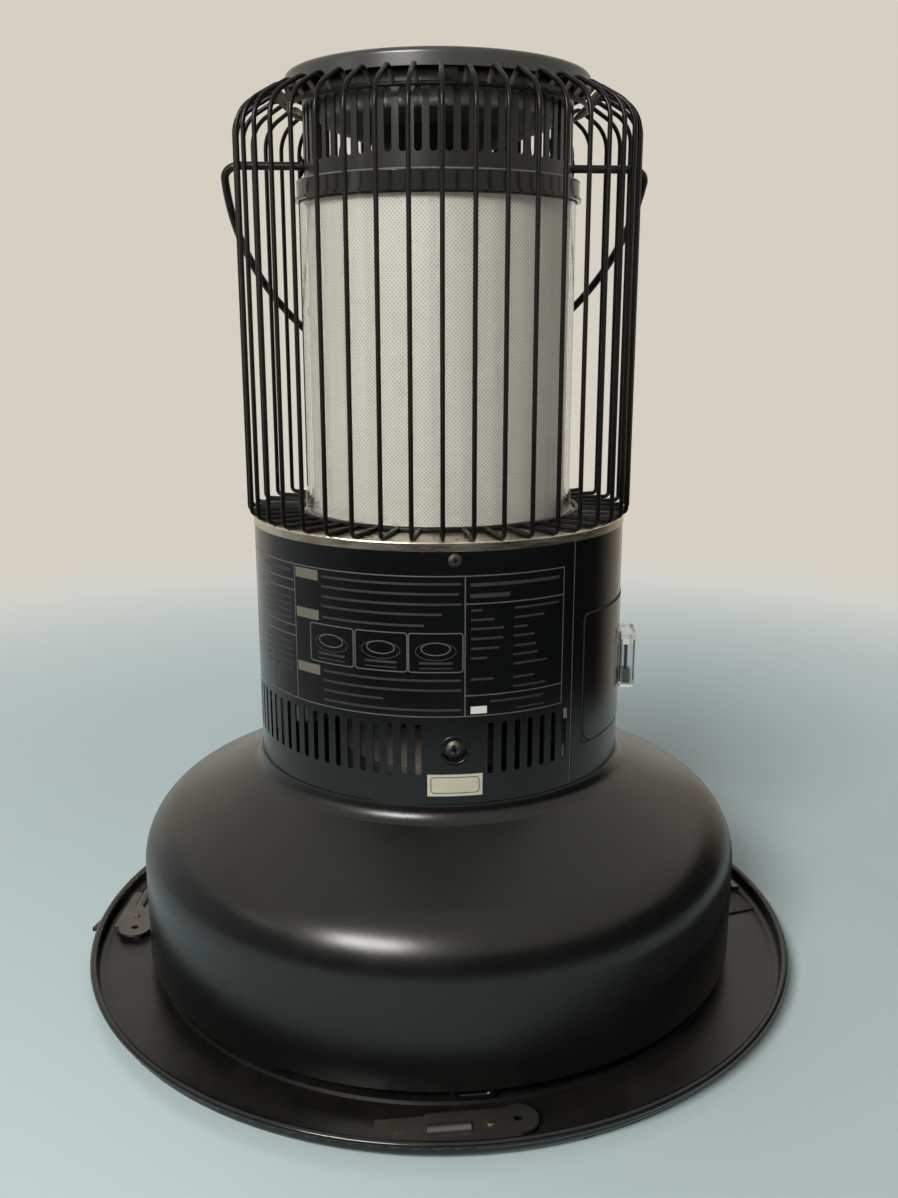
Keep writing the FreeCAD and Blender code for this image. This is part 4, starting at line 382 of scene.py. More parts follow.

# The inner tubes are painted bright at the foot of the casing's slots, a painted highlight, and painted
# dark over it, painted shade inside the casing
LIT_FOOT_TOP = 142 * MM
by_height(inner_steel, (LIT_FOOT_TOP,), ((0.50, 0.48, 0.44), (0.035, 0.032, 0.029)), blend=1.5 * MM)

# White heat screen with its fine staggered perforation, the holes drawn as darker dots: painted shade in
# the holes
SCREEN_PALE = (0.321, 0.312, 0.284)
SCREEN_DULL = (0.302, 0.290, 0.256)
SCREEN_HOLE_SHADE = (0.167, 0.161, 0.144)
SCREEN_ROUND = box_mm("heat_screen")[1].x * MM
DOT_ACROSS = 1.95 * MM
DOT_UP = 1.0 * MM
DOT_CORE = 0.22 * MM
DOT_EDGE = 0.44 * MM
screen_white = Finish("screen_white", SCREEN_PALE, 0.45)
row = screen_white.math("DIVIDE", screen_white.z, DOT_UP)
row_number = screen_white.math("FLOOR", row)
around = screen_white.math("MULTIPLY", screen_white.angle(), math.pi / 180 * SCREEN_ROUND / DOT_ACROSS)
shifted = screen_white.math("ADD", around, screen_white.math("MULTIPLY", row_number, 0.5))
dot_x = screen_white.math("SUBTRACT", screen_white.math("FRACT", shifted), 0.5)
dot_z = screen_white.math("SUBTRACT", screen_white.math("FRACT", row), 0.5)
dot_x = screen_white.math("MULTIPLY", dot_x, DOT_ACROSS)
dot_z = screen_white.math("MULTIPLY", dot_z, DOT_UP)
dot_reach = screen_white.math("SQRT", screen_white.math(
    "ADD", screen_white.math("MULTIPLY", dot_x, dot_x), screen_white.math("MULTIPLY", dot_z, dot_z)))
dot = screen_white.span(dot_reach, DOT_CORE, DOT_EDGE, 1.0, 0.0)
blotch = screen_white.span(screen_white.noise(22, detail=4, roughness=0.6), 0.35, 0.75, 0.0, 0.25)
screen_base = screen_white.mix(blotch, SCREEN_PALE, SCREEN_DULL)
screen_white.set("Base Color", screen_white.mix(dot, screen_base, SCREEN_HOLE_SHADE))
screen_white.bump(dot, strength=0.25, depth=-0.2 * MM)


def clear(name, tint, roughness, bend):
    """Glass or clear plastic, faintly clouded, which lamps shine through."""
    finish = Finish(name, tint, roughness, 0.0, Transmission_Weight=1.0, IOR=bend)
    smear = finish.span(finish.noise(14, detail=4, roughness=0.6), 0.4, 0.75)
    finish.set("Base Color", finish.mix(smear, tint, tuple(SMEAR_LOSS * part for part in tint)))
    path = finish.tree.nodes.new("ShaderNodeLightPath")
    lit = finish.tree.nodes.new("ShaderNodeBsdfTransparent")
    lit.inputs["Color"].default_value = (*tint, 1)
    either = finish.tree.nodes.new("ShaderNodeMixShader")
    finish.tree.links.new(path.outputs["Is Shadow Ray"], either.inputs[0])
    finish.tree.links.new(finish.shader.outputs[0], either.inputs[1])
    finish.tree.links.new(lit.outputs[0], either.inputs[2])
    finish.tree.links.new(either.outputs[0], finish.tree.nodes["Material Output"].inputs["Surface"])
    return finish


chimney_glass = clear("chimney_glass", (0.98, 0.99, 0.99), roughness=0.0, bend=1.22)
case_plastic = clear("case_plastic", (0.93, 0.94, 0.94), roughness=0.05, bend=1.46)


def plain_cloudy(name, colour, second, roughness, scale=40, relief=0.3, grain=900):
    """A surface whose colour drifts a little, with a fine grain."""
    finish = Finish(name, colour, roughness)
    drift = finish.span(finish.noise(scale, detail=4, roughness=0.6), 0.35, 0.7)
    finish.set("Base Color", finish.mix(drift, colour, second))
    finish.set("Roughness", finish.span(drift, 0, 1, roughness - 0.04, roughness + 0.06))
    finish.bump(finish.noise(grain, detail=2, roughness=0.5), relief, depth=0.1 * MM)
    return finish


seal_rubber = plain_cloudy("seal_rubber", (0.012, 0.012, 0.012), (0.02, 0.02, 0.02), 0.7)
stop_red = plain_cloudy("stop_red", (0.42, 0.025, 0.02), (0.34, 0.02, 0.018), 0.28)
float_orange = plain_cloudy("float_orange", (0.62, 0.2, 0.03), (0.5, 0.15, 0.02), 0.4)
cell_jacket = plain_cloudy("cell_jacket", (0.12, 0.125, 0.14), (0.09, 0.095, 0.11), 0.3)
spare_dark = plain_cloudy("spare_dark", (0.02, 0.022, 0.028), (0.03, 0.03, 0.034), 0.4)
ceramic = plain_cloudy("ceramic", (0.62, 0.58, 0.5), (0.45, 0.38, 0.3), 0.5)

WICK_PALE = (0.62, 0.57, 0.48)
WICK_DARK = (0.36, 0.31, 0.25)
WARP_TURN = 3.0
WEFT_RISE = 4200.0
wick_cloth = Finish("wick_cloth", WICK_PALE, 0.9)
warp = wick_cloth.math("SINE", wick_cloth.math("MULTIPLY", wick_cloth.angle(), WARP_TURN))
weft = wick_cloth.math("SINE", wick_cloth.math("MULTIPLY", wick_cloth.z, WEFT_RISE))
weave = wick_cloth.math("MULTIPLY", warp, weft)
wick_cloth.set("Base Color", wick_cloth.mix(wick_cloth.span(weave, -1, 1), WICK_PALE, WICK_DARK))
wick_cloth.bump(weave, strength=0.6, depth=0.3 * MM)

FINISHES = {
    tank_paint: ["tank_shell", "tank_base", "tank_legs"],
    tray_paint: ["drip_tray", "tray_feet"],
    clip_paint: ["tray_clips"],
    clip_base_paint: ["clip_plates"],
    rivet_tan: ["clip_rivets"],
    brass: ["knob_bush", "knob_shaft"],
    liner_metal: ["vent_liner"],
    casing_paint: ["rear_casing", "front_casing"],
    cover_plastic: ["battery_cover"],
    deck_nickel: ["deck_plate"],
    guard_paint: ["guard_wires", "guard_base_ring", "burner_knob"],
    ring_paint: ["guard_top_ring", "plate_brackets"],
    head_paint: ["vent_head"],
    plate_paint: ["top_plate"],
    screen_white: ["heat_screen"],
    chimney_glass: ["glass_chimney"],
    case_plastic: ["spare_case", "case_lid", "gauge_window"],
    plastic_black: ["control_fascia", "wick_knob", "ignition_lever", "filler_cap", "gauge_body",
                    "battery_box"],
    bail_metal: ["bail_handle", "bail_bushes"],
    zinc_screw: ["casing_screws"],
    plain_steel: ["wick_holder", "filler_neck", "lever_bracket", "igniter_post", "igniter_arm",
                  "stop_guide", "quake_bracket", "quake_weight"],
    inner_steel: ["draught_tube", "wick_tube", "casing_straps"],
    burner_steel: ["burner_base", "inner_flame_tube", "outer_flame_tube", "burner_pins", "flame_cap"],
    ceramic: ["igniter_head"],
    seal_rubber: ["cap_seal"],
    stop_red: ["stop_button"],
    float_orange: ["gauge_float"],
    cell_jacket: ["battery_cells"],
    spare_dark: ["spare_igniter"],
    wick_cloth: ["wick"],
}
for finish, names in FINISHES.items():
    for name in names:
        mesh = nodes[name].data
        mesh.materials.clear()
        mesh.materials.append(finish.material)

# Thin plates and lines on the casing's round side, laid out in degrees round it and millimetres up
CASING_ROUND = box_mm("rear_casing")[1].y
ARC_STEP = 1.5
CORNER_STEPS = 4
LIFT = 0.02


def on_round(flat, up, circle):
    """A point over the casing: millimetres along its round side, millimetres up, and its circle."""
    turn = flat / CASING_ROUND
    return Vector((-circle * math.sin(turn), circle * math.cos(turn), up)) * MM


def flat_points(points):
    """A line's corners as millimetres along and up, with steps between them that follow the round."""
    corners = [Vector((math.radians(angle) * CASING_ROUND, up)) for angle, up in points]
    line = [corners[0]]
    for start, end in zip(corners, corners[1:]):
        steps = max(1, math.ceil(abs(end.x - start.x) / math.radians(ARC_STEP) / CASING_ROUND))
        line += [start.lerp(end, step / steps) for step in range(1, steps + 1)]
    return line


def skin(build, stations, closed=False, smooth=False):
    """Joins a row of rings of points with faces, and closes the ends of an open row."""
    pairs = list(zip(stations, stations[1:])) + ([(stations[-1], stations[0])] if closed else [])
    for first, second in pairs:
        for corner in range(len(first)):
            after = (corner + 1) % len(first)
            face = build.faces.new((first[corner], first[after], second[after], second[corner]))
            face.smooth = smooth
    if not closed:
        build.faces.new(stations[0])
        build.faces.new(stations[-1])


def lay_strip(build, points, width, film, closed=False, lift=LIFT):
    """A closed flat strip along a line on the casing."""
    line = flat_points(points + points[:1] if closed else points)
    if closed:
        line.pop()
    count = len(line)
    stations = []
    for index, spot in enumerate(line):
        before = line[index - 1] if closed or index else spot
        after = line[(index + 1) % count] if closed or index < count - 1 else spot
        arrive = (spot - before).normalized() if spot != before else (after - spot).normalized()
        leave = (after - spot).normalized() if after != spot else arrive
        mitre = Vector((-(arrive + leave).y, (arrive + leave).x)).normalized()
        half = width / 2 / max(0.5, mitre.dot(Vector((-leave.y, leave.x))))
        ends = [spot + mitre * half, spot - mitre * half]
        inner = CASING_ROUND + lift
        ring = [(ends[0], inner), (ends[1], inner), (ends[1], inner + film), (ends[0], inner + film)]
        stations.append([build.verts.new(on_round(end.x, end.y, circle)) for end, circle in ring])
    skin(build, stations, closed)


def new_piece(name, build, finish, body):
    """Makes a mesh piece that rides on a body."""
    bmesh.ops.recalc_face_normals(build, faces=build.faces)
    mesh = bpy.data.meshes.new(name)
    build.to_mesh(mesh)
    build.free()
    mesh.materials.append(finish.material)
    piece = bpy.data.objects.new(name, mesh)
    scene.collection.objects.link(piece)
    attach(piece, body)
    return piece


def rounded_frame(left, right, bottom, top, corner):
    """The corners of a frame with rounded ends, in degrees and millimetres."""
    turn = math.degrees(corner / CASING_ROUND)
    points = []
    for across, up, start in ((right - turn, top - corner, 0), (left + turn, top - corner, 90),
                              (left + turn, bottom + corner, 180), (right - turn, bottom + corner, 270)):
        for step in range(CORNER_STEPS + 1):
            way = math.radians(start + 90 * step / CORNER_STEPS)
            points.append((across + turn * math.cos(way), up + corner * math.sin(way)))
    return points


def ring_line(angle, up, half_angle, half_up, sides=28):
    """An oval line."""
    turns = [2 * math.pi * side / sides for side in range(sides)]
    return [(angle + half_angle * math.cos(turn), up + half_up * math.sin(turn)) for turn in turns]


print_grey = plain_cloudy("print_grey", (0.10, 0.098, 0.088), (0.075, 0.073, 0.066), 0.5, scale=300)
print_dim = plain_cloudy("print_dim", (0.027, 0.027, 0.025), (0.019, 0.019, 0.018), 0.5, scale=300)
tag_grey = plain_cloudy("tag_grey", (0.125, 0.118, 0.092), (0.10, 0.094, 0.072), 0.5, scale=200)
sticker_white = plain_cloudy("sticker_white", (0.66, 0.66, 0.62), (0.58, 0.57, 0.52), 0.55, scale=120)
sticker_cream = plain_cloudy("sticker_cream", (0.55, 0.52, 0.42), (0.47, 0.44, 0.35), 0.55, scale=90)
ink_dark = plain_cloudy("ink_dark", (0.03, 0.03, 0.028), (0.05, 0.05, 0.045), 0.55, scale=300)
edge_grey = plain_cloudy("edge_grey", (0.16, 0.16, 0.155), (0.10, 0.10, 0.095), 0.4, scale=80)

PRINT_TOP = 231.6
PRINT_BOTTOM = 164.5
PRINT_ENDS = (-78.0, -49.8, 2.8, 33.2)
RULE_WIDTH = 0.55
RULE_FILM = 0.03
rules = bmesh.new()
for up in (PRINT_TOP, PRINT_BOTTOM):
    lay_strip(rules, [(PRINT_ENDS[0], up), (PRINT_ENDS[3], up)], RULE_WIDTH, RULE_FILM)
for angle in PRINT_ENDS[1:]:
    lay_strip(rules, [(angle, PRINT_BOTTOM), (angle, PRINT_TOP)], RULE_WIDTH, RULE_FILM)
RIGHT_RULES = (218.5, 174.6)
for up in RIGHT_RULES:
    lay_strip(rules, [(PRINT_ENDS[2], up), (PRINT_ENDS[3], up)], RULE_WIDTH, RULE_FILM)
LEFT_RULES = (223.5, 218.6, 201.0, 196.0)
LEFT_START = -71.0
for up in LEFT_RULES:
    lay_strip(rules, [(LEFT_START, up), (PRINT_ENDS[1], up)], RULE_WIDTH, RULE_FILM)
BOX_ENDS = ((-43.6, -28.8), (-28.2, -13.1), (-12.7, 2.2))
BOX_BOTTOM = 186.2
BOX_TOP = 204.8
BOX_CORNER = 1.3
RING_UP = 197.4
RING_HALVES = (4.0, 3.0)
RING_WIDTH = 0.5
for left, right in BOX_ENDS:
    outline = rounded_frame(left, right, BOX_BOTTOM, BOX_TOP, BOX_CORNER)
    lay_strip(rules, outline, RULE_WIDTH, RULE_FILM, True)
    middle = (left + right) / 2
    lay_strip(rules, ring_line(middle, RING_UP, *RING_HALVES), RING_WIDTH, RULE_FILM, True)
new_piece("print_rules", rules, print_grey, "heater")

# Plain dim lines where the casing has rows of print, left without words
ROW_WIDTH = 1.1
NOTE_START = -39.0
NOTE_ROWS = ((228.0, 1.8), (223.3, 1.0), (218.5, 1.8), (213.8, -3.5), (208.5, -8.4),
             (182.2, 1.8), (177.4, 1.8), (172.6, -20.0), (167.8, 1.8))
NAME_START = 4.4
NAME_ROWS = ((215.4, 7.5), (210.9, 10.9), (206.6, 13.7), (201.9, 13.6), (197.2, 12.3), (192.6, 9.0),
             (182.4, 10.9))
VALUE_START = 16.7
VALUE_WIDTH = 1.0
VALUE_ROWS = ((215.4, 31.4), (210.9, 26.3), (206.3, 20.9), (202.0, 23.2), (197.2, 23.7), (193.0, 24.4),
              (188.6, 27.5), (182.0, 23.3), (177.5, 27.2))
LOOSE_ROWS = ((227.4, 4.2, 31.6, 1.6), (222.2, 4.2, 15.5, 2.0), (171.2, 9.9, 26.6, 1.1),
              (166.8, 17.9, 26.9, 0.7), (228.0, -68.0, -51.5, 1.6))
SIDE_ENDS = (-68.0, -51.5)
SIDE_BLOCKS = ((214.5, 4), (192.0, 5))
SIDE_PITCH = 3.4
SIDE_WIDTH = 0.8
BOX_ROW_HALF = 4.6
BOX_ROWS = ((190.6, 1.1), (188.1, 0.6))
SHADE_UP = 196.2
SHADE_HALVES = (5.6, 4.2)
SHADE_WIDTH = 0.4
rows = bmesh.new()
for row_start, width, row_ends in ((NOTE_START, ROW_WIDTH, NOTE_ROWS), (NAME_START, ROW_WIDTH, NAME_ROWS),
                                   (VALUE_START, VALUE_WIDTH, VALUE_ROWS)):
    for up, row_end in row_ends:
        lay_strip(rows, [(row_start, up), (row_end, up)], width, RULE_FILM)
for left, right in BOX_ENDS:
    middle = (left + right) / 2
    for up, width in BOX_ROWS:
        lay_strip(rows, [(middle - BOX_ROW_HALF, up), (middle + BOX_ROW_HALF, up)], width, RULE_FILM)
    lay_strip(rows, ring_line(middle, SHADE_UP, *SHADE_HALVES), SHADE_WIDTH, RULE_FILM, True)
for up, left, right, width in LOOSE_ROWS:
    lay_strip(rows, [(left, up), (right, up)], width, RULE_FILM)
for top, count in SIDE_BLOCKS:
    for number in range(count):
        up = top - SIDE_PITCH * number
        lay_strip(rows, [(SIDE_ENDS[0], up), (SIDE_ENDS[1], up)], SIDE_WIDTH, RULE_FILM)
new_piece("print_rows", rows, print_dim, "heater")

TAG_LEVELS = (228.1, 208.8, 181.8)
TAG_ENDS = (-49.2, -40.3)
TAG_WIDTH = 4.9
tags = bmesh.new()
for up in TAG_LEVELS:
    lay_strip(tags, [(TAG_ENDS[0], up), (TAG_ENDS[1], up)], TAG_WIDTH, RULE_FILM)
new_piece("print_tags", tags, tag_grey, "heater")

# Two blank stickers, the wider one with a thin printed border, a light tab by the seam, and a pale strip
# along the seam that is a painted highlight
STICKER_FILM = 0.08
SMALL_ENDS = (4.4, 9.0)
SMALL_UP = 167.4
SMALL_WIDTH = 3.6
WIDE_ENDS = (-7.7, 7.9)
WIDE_UP = 130.3
WIDE_WIDTH = 10.9
BORDER_ENDS = (-6.7, 6.9)
BORDER_LEVELS = (126.4, 134.3)
BORDER_CORNER = 1.6
BORDER_WIDTH = 0.4
BORDER_FILM = 0.02
BORDER_LIFT = LIFT + STICKER_FILM + 0.01
white = bmesh.new()
lay_strip(white, [(angle, SMALL_UP) for angle in SMALL_ENDS], SMALL_WIDTH, STICKER_FILM)
new_piece("sticker_small", white, sticker_white, "heater")
cream = bmesh.new()
lay_strip(cream, [(angle, WIDE_UP) for angle in WIDE_ENDS], WIDE_WIDTH, STICKER_FILM)
new_piece("sticker_wide", cream, sticker_cream, "heater")
border = bmesh.new()
lay_strip(border, rounded_frame(*BORDER_ENDS, *BORDER_LEVELS, BORDER_CORNER), BORDER_WIDTH, BORDER_FILM,
          True, BORDER_LIFT)
new_piece("sticker_border", border, ink_dark, "heater")
SEAM_TURN = 37.35
SEAM_ENDS = (121.0, 242.8)
SEAM_WIDTH = 0.35
SEAM_FILM = 0.05
TAB_ENDS = (34.2, 35.6)
TAB_UP = 158.6
TAB_WIDTH = 5.2
TAB_FILM = 0.06
seam = bmesh.new()
# The strip along the seam is a painted highlight on its edge
lay_strip(seam, [(SEAM_TURN, up) for up in SEAM_ENDS], SEAM_WIDTH, SEAM_FILM)
lay_strip(seam, [(angle, TAB_UP) for angle in TAB_ENDS], TAB_WIDTH, TAB_FILM)
new_piece("seam_highlight_and_tab", seam, edge_grey, "heater")


# Rolled lip round the dimple of the lower screw
DIMPLE_UP = 147.8
LIP_RADIUS = 6.75
LIP_ROUND = 0.8
LIP_SINK = 0.3
LIP_SIDES = 48
LIP_FACETS = 10
lip = bmesh.new()
lip_rings = []
for side in range(LIP_SIDES):
    way = 2 * math.pi * side / LIP_SIDES
    along = Vector((math.cos(way), math.sin(way)))
    ring = []
    for facet in range(LIP_FACETS):
        tilt = 2 * math.pi * facet / LIP_FACETS
        spot = along * (LIP_RADIUS + LIP_ROUND * math.cos(tilt))
        circle = CASING_ROUND - LIP_SINK + LIP_ROUND * math.sin(tilt)
        ring.append(lip.verts.new(on_round(spot.x, DIMPLE_UP + spot.y, circle)))
    lip_rings.append(ring)
skin(lip, lip_rings, closed=True, smooth=True)
new_piece("dimple_lip", lip, casing_paint, "heater")

# Pale ring at the top of the collar under the vent: a painted highlight along its rounded edge
EDGE_RADIUS = 69.55
EDGE_UP = 409.0
EDGE_ROUND = 0.45
EDGE_SIDES = 120
EDGE_FACETS = 8
edge = bmesh.new()
edge_rings = []
for side in range(EDGE_SIDES):
    way = 2 * math.pi * side / EDGE_SIDES
    ring = []
    for facet in range(EDGE_FACETS):
        tilt = 2 * math.pi * facet / EDGE_FACETS
        circle = EDGE_RADIUS + EDGE_ROUND * math.cos(tilt)
        up = EDGE_UP + EDGE_ROUND * math.sin(tilt)
        ring.append(edge.verts.new(Vector((circle * math.cos(way), circle * math.sin(way), up)) * MM))
    edge_rings.append(ring)
skin(edge, edge_rings, closed=True, smooth=True)
new_piece("collar_edge_highlight", edge, edge_grey, "heater")

# Thin dark strip on the casing round the battery cover: painted shade along the gap round it
GAP_SHADE_ENDS = (42.84, 122.36)
cover_low, cover_high = box_mm("battery_cover")
GAP_SHADE_LEVELS = (cover_low.z, cover_high.z)
GAP_SHADE_WIDTH = 0.9
GAP_SHADE_OFFSET = 0.65
GAP_SHADE_CORNER = 3.0
GAP_SHADE_FILM = 0.2
gap_shade = bmesh.new()
gap_shade_turn = math.degrees(GAP_SHADE_OFFSET / CASING_ROUND)
lay_strip(gap_shade, rounded_frame(GAP_SHADE_ENDS[0] - gap_shade_turn, GAP_SHADE_ENDS[1] + gap_shade_turn,
                                GAP_SHADE_LEVELS[0] - GAP_SHADE_OFFSET, GAP_SHADE_LEVELS[1] + GAP_SHADE_OFFSET,
                                GAP_SHADE_CORNER), GAP_SHADE_WIDTH, GAP_SHADE_FILM, True)
new_piece("cover_gap_shade", gap_shade, seal_rubber, "heater")

# Dial marks round the wick knob, its pointer line, and a scale on the gauge window
FASCIA_ROUND = 99.3
knob_low, knob_high = box_mm("wick_knob")
KNOB_UP = (knob_low.z + knob_high.z) / 2
DIAL_TURN = 110
DIAL_MARKS = 11
DIAL_INNER = 26.6
DIAL_OUTER = 29.4
DIAL_END = 1.6
DIAL_WIDTH = 0.8
FRONT = 180.0
dial = bmesh.new()


def dial_point(turn, distance):
    """A place on the fascia: degrees clockwise from over the knob, and millimetres from its axis."""
    way = math.radians(turn)
    across = math.degrees(distance * math.sin(way) / FASCIA_ROUND)
    return (FRONT + across, KNOB_UP + distance * math.cos(way))


for mark in range(DIAL_MARKS):
    turn = DIAL_TURN * mark / (DIAL_MARKS - 1)
    longer = DIAL_END if mark in (0, DIAL_MARKS - 1) else 0.0
    lay_strip(dial, [dial_point(turn, DIAL_INNER), dial_point(turn, DIAL_OUTER + longer)],
              DIAL_WIDTH, RULE_FILM, False, FASCIA_ROUND - CASING_ROUND + LIFT)
new_piece("dial_marks", dial, sticker_white, "heater")

KNOB_FRONT = -119.2
POINTER_HALF = 0.8
POINTER_LOW = 8.0
POINTER_HIGH = 20.0
POINTER_FILM = 0.06
POINTER_TIP = 1.2
pointer = bmesh.new()
pointer_outline = [(-POINTER_HALF, POINTER_LOW), (POINTER_HALF, POINTER_LOW),
                   (POINTER_HALF, POINTER_HIGH - POINTER_TIP), (0.0, POINTER_HIGH),
                   (-POINTER_HALF, POINTER_HIGH - POINTER_TIP)]
pointer_layers = []
for depth in (0.0, POINTER_FILM):
    pointer_layers.append([pointer.verts.new(Vector((x, KNOB_FRONT - LIFT - depth, KNOB_UP + up)) * MM)
                           for x, up in pointer_outline])
skin(pointer, pointer_layers)
new_piece("knob_pointer", pointer, sticker_white, "knob")

gauge_low, gauge_high = box_mm("gauge_window")
GAUGE_X = (gauge_low.x + gauge_high.x) / 2
GAUGE_Y = (gauge_low.y + gauge_high.y) / 2
GAUGE_UP = gauge_high.z
SCALE_RADIUS = 13.0
SCALE_FILM = 0.05
SCALE_HALF = 0.35
SCALE_STEPS = 24
SCALE_TURNS = (190, 350)
SCALE_MARKS = 5
MARK_INNER = 0.5
MARK_OUTER = 3.0
MARK_HALF_TURN = 1.4
scale = bmesh.new()


def scale_bar(inner, outer, start, end, steps=1):
    """A flat bar on the gauge window, between two radii and two turns in degrees."""
    stations = []
    for step in range(steps + 1):
        way = math.radians(start + (end - start) * step / steps)
        base = GAUGE_UP + LIFT
        ring = [(inner, base), (outer, base), (outer, base + SCALE_FILM), (inner, base + SCALE_FILM)]
        stations.append([scale.verts.new(Vector((
            GAUGE_X + distance * math.cos(way), GAUGE_Y + distance * math.sin(way), up)) * MM)
            for distance, up in ring])
    skin(scale, stations)


scale_bar(SCALE_RADIUS - SCALE_HALF, SCALE_RADIUS + SCALE_HALF, *SCALE_TURNS, SCALE_STEPS)
for mark in range(SCALE_MARKS):
    turn = SCALE_TURNS[0] + (SCALE_TURNS[1] - SCALE_TURNS[0]) * mark / (SCALE_MARKS - 1)
    scale_bar(SCALE_RADIUS + MARK_INNER, SCALE_RADIUS + MARK_OUTER,
              turn - MARK_HALF_TURN, turn + MARK_HALF_TURN)
new_piece("gauge_scale", scale, sticker_white, "heater")

# Cross recesses in the casing screws, drawn as thin dark crosses set into the heads: painted shade in the
# recesses
screw_mesh = nodes["casing_screws"].data
screw_build = bmesh.new()
screw_build.from_mesh(screw_mesh)
screw_groups = []
waiting = dict.fromkeys(screw_build.verts)
while waiting:
    group = [next(iter(waiting))]
    del waiting[group[0]]
    for vert in group:
        for link in vert.link_edges:
            other = link.other_vert(vert)
            if other in waiting:
                del waiting[other]
                group.append(other)
    screw_groups.append([vert.co.copy() for vert in group])
screw_build.free()
CROSS_ARM = 0.62
CROSS_SLIM = 0.15
CROSS_TURN = math.radians(20)
CROSS_LEVELS = (-0.4 * MM, 0.03 * MM)
recess = bmesh.new()
for points in screw_groups:
    middle = sum(points, Vector()) / len(points)
    out = Vector((middle.x, middle.y, 0)).normalized()
    front = max(point.dot(out) for point in points)
    flat_middle = middle - out * middle.dot(out)
    head = max((point - out * point.dot(out) - flat_middle).length for point in points)
    side = Vector((0, 0, 1)).cross(out)
    centre = flat_middle + out * front
    arm = CROSS_ARM * head
    slim = CROSS_SLIM * head
    cross = [(slim, slim), (slim, arm), (-slim, arm), (-slim, slim), (-arm, slim), (-arm, -slim),
             (-slim, -slim), (-slim, -arm), (slim, -arm), (slim, -slim), (arm, -slim), (arm, slim)]
    layers = []
    for depth in CROSS_LEVELS:
        layers.append([recess.verts.new(
            centre + out * depth + side * (a * math.cos(CROSS_TURN) - b * math.sin(CROSS_TURN))
            + Vector((0, 0, a * math.sin(CROSS_TURN) + b * math.cos(CROSS_TURN)))) for a, b in cross])
    skin(recess, layers)
recess_shade = plain_cloudy("recess_shade", (0.006, 0.006, 0.006), (0.012, 0.011, 0.010), 0.6, scale=400)
new_piece("screw_recess_shade", recess, recess_shade, "heater")

# Pale floor that curves up into a round backdrop
STAGE_FLAT = 1.7
STAGE_BEND = 0.7
STAGE_HEIGHT = 2.6
STAGE_DROP = 0.2 * MM
STAGE_SIDES = 96
BEND_STEPS = 10
FLOOR_COLOUR = (0.605, 0.742, 0.79)
BACKDROP_COLOUR = (0.60, 0.57, 0.51)
FLOOR_GLOW = (0.55, 0.675, 0.705)
BACKDROP_GLOW = (0.67, 0.63, 0.545)
COLOUR_REACH = (0.35, 1.1)
GLOW_COLOUR_REACH = (0.5, 1.15)
GLOW_REACH = (0.32, 0.95)

stage_finish = Finish("stage_finish", FLOOR_COLOUR, roughness=0.7, Specular_IOR_Level=0.2)
reach = stage_finish.reach()
far = stage_finish.span(reach, *COLOUR_REACH)
stage_finish.set("Base Color", stage_finish.mix(far, FLOOR_COLOUR, BACKDROP_COLOUR))
path = stage_finish.tree.nodes.new("ShaderNodeLightPath").outputs
seen = stage_finish.math("MAXIMUM", path["Is Camera Ray"], stage_finish.math(
    "MAXIMUM", path["Is Glossy Ray"], path["Is Transmission Ray"]))
glow = stage_finish.tree.nodes.new("ShaderNodeEmission")
stage_finish.feed(glow.inputs["Color"], stage_finish.mix(
    stage_finish.span(reach, *GLOW_COLOUR_REACH), FLOOR_GLOW, BACKDROP_GLOW))
blend = stage_finish.tree.nodes.new("ShaderNodeMixShader")
stage_finish.feed(blend.inputs[0], stage_finish.math(
    "MULTIPLY", seen, stage_finish.span(reach, *GLOW_REACH)))
stage_finish.feed(blend.inputs[1], stage_finish.shader.outputs[0])
stage_finish.feed(blend.inputs[2], glow.outputs[0])
stage_finish.feed(stage_finish.tree.nodes["Material Output"].inputs["Surface"], blend.outputs[0])

stage_outline = [(STAGE_FLAT, 0.0)]
for step in range(1, BEND_STEPS + 1):
    bend = math.pi / 2 * step / BEND_STEPS
    stage_outline.append((STAGE_FLAT + STAGE_BEND * math.sin(bend), STAGE_BEND * (1 - math.cos(bend))))
stage_outline.append((STAGE_FLAT + STAGE_BEND, STAGE_HEIGHT))
stage_build = bmesh.new()
rings = []
turns = [2 * math.pi * side / STAGE_SIDES for side in range(STAGE_SIDES)]
for radius, height in stage_outline:
    rings.append([stage_build.verts.new((radius * math.cos(turn), radius * math.sin(turn), height))
                  for turn in turns])
stage_build.faces.new(rings[0])
for low, high in zip(rings, rings[1:]):
    for side in range(STAGE_SIDES):
        following = (side + 1) % STAGE_SIDES
        stage_build.faces.new((low[side], high[side], high[following], low[following]))
for face in stage_build.faces:
    face.smooth = True
stage_mesh = bpy.data.meshes.new("stage")
stage_build.to_mesh(stage_mesh)
stage_build.free()
stage_mesh.materials.append(stage_finish.material)
stage = bpy.data.objects.new("stage", stage_mesh)
stage.location.z = -STAGE_DROP
scene.collection.objects.link(stage)

FLAG_ROUGH = (0.85, 0.95)


def flag(name, finish, points):
    """A strip between pairs of points that only the gloss of the heater shows."""
    faces = [(pair, pair + 2, pair + 3, pair + 1) for pair in range(0, len(points) - 2, 2)]
    mesh = bpy.data.meshes.new(name)
    mesh.from_pydata(points, [], faces)
    mesh.materials.append(finish.material)
    strip = bpy.data.objects.new(name, mesh)
    strip.visible_camera = False
    strip.visible_diffuse = False
    strip.visible_transmission = False
    strip.visible_shadow = False
    scene.collection.objects.link(strip)


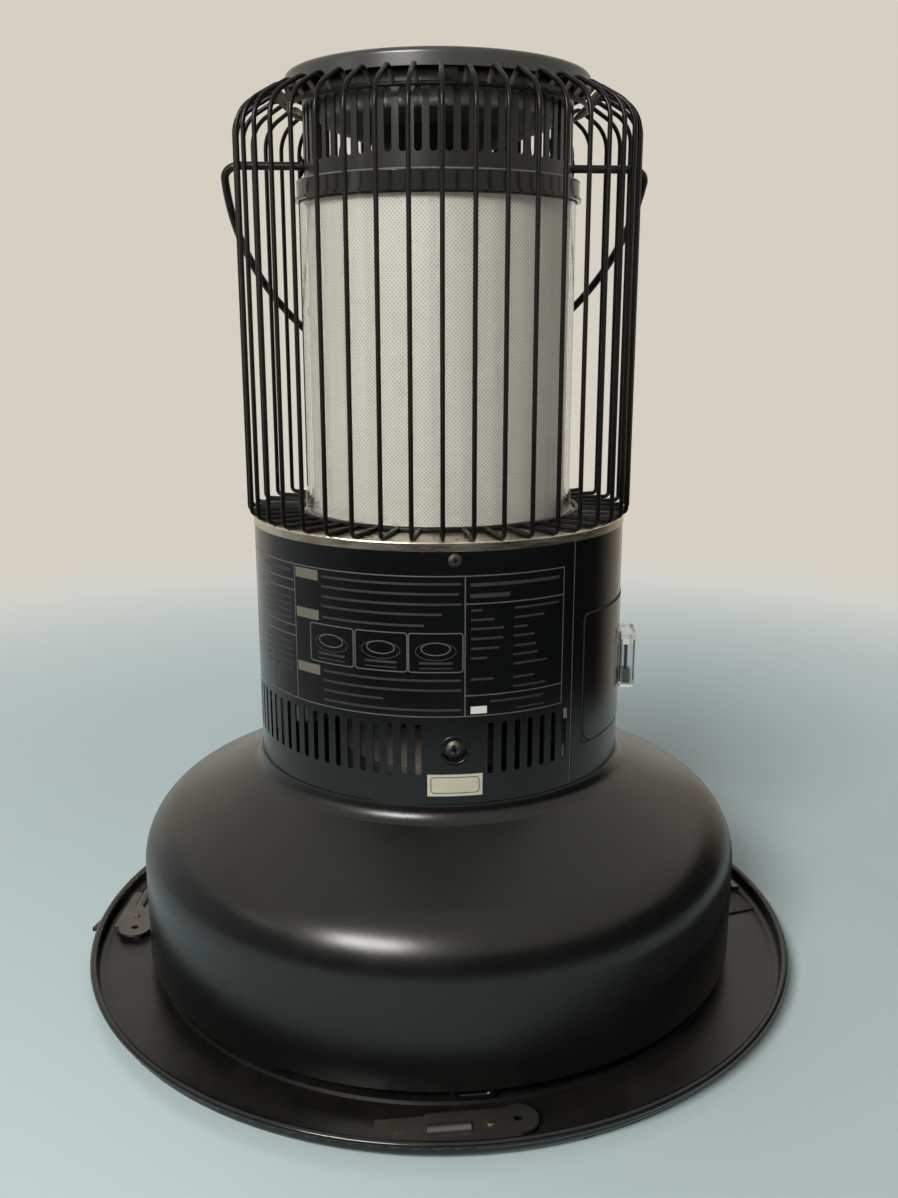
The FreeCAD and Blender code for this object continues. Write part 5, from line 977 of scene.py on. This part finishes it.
def flag_finish(name, colour):
    """Dark matt card."""
    finish = Finish(name, colour, FLAG_ROUGH[1])
    finish.set("Roughness", finish.span(finish.noise(30), 0, 1, *FLAG_ROUGH))
    return finish


# A black card round the camera's side, which fades to light at its ends, shapes the gloss of the paint
CARD_REACH = 0.50
CARD_HEIGHT = 0.24
CARD_LEFT = 116
CARD_RIGHT = -140
CARD_STEPS = 40
CARD_FADE = 0.5
LEFT_FADE = (36, CARD_LEFT)
RIGHT_FADE = (-106, -130)
CARD_WARM = (1.0, 0.86, 0.68)
CARD_COOL = (0.95, 1.0, 1.0)
TINT_SPAN = (-20, 20)
card_finish = flag_finish("card_finish", (0.004, 0.004, 0.004))
card_turn = card_finish.math("MULTIPLY", card_finish.angle(), -1.0)
card_left = card_finish.math("SUBTRACT", card_turn, math.degrees(VIEW_TURN))
card_edge = card_finish.math("MAXIMUM", card_finish.span(card_left, *LEFT_FADE),
                             card_finish.span(card_left, *RIGHT_FADE))
card_finish.set("Emission Color", card_finish.mix(
    card_finish.span(card_left, *TINT_SPAN), CARD_WARM, CARD_COOL))
card_finish.set("Emission Strength", card_finish.math("MULTIPLY", card_edge, CARD_FADE))
card_points = []
for step in range(CARD_STEPS + 1):
    left = CARD_RIGHT + (CARD_LEFT - CARD_RIGHT) * step / CARD_STEPS
    foot = seen_from(left, 0, CARD_REACH, 0)
    card_points += [foot, foot + Vector((0, 0, CARD_HEIGHT))]
flag("black_card", card_finish, card_points)

# A dark mat on the floor at the right keeps the gloss of the tank's side dark there
MAT_INNER = 0.205
MAT_OUTER = 0.29
MAT_START = -10
MAT_END = -135
MAT_STEPS = 30
MAT_GROWTH = 1.6
MAT_RISE = 1 * MM
mat_finish = flag_finish("mat_finish", (0.01, 0.01, 0.01))
mat_points = []
for step in range(MAT_STEPS + 1):
    left = MAT_START + (MAT_END - MAT_START) * step / MAT_STEPS
    outer = MAT_INNER + (MAT_OUTER - MAT_INNER) * min(1, MAT_GROWTH * step / MAT_STEPS)
    mat_points += [seen_from(left, 0, MAT_INNER, MAT_RISE), seen_from(left, 0, outer, MAT_RISE)]
flag("dark_mat", mat_finish, mat_points)
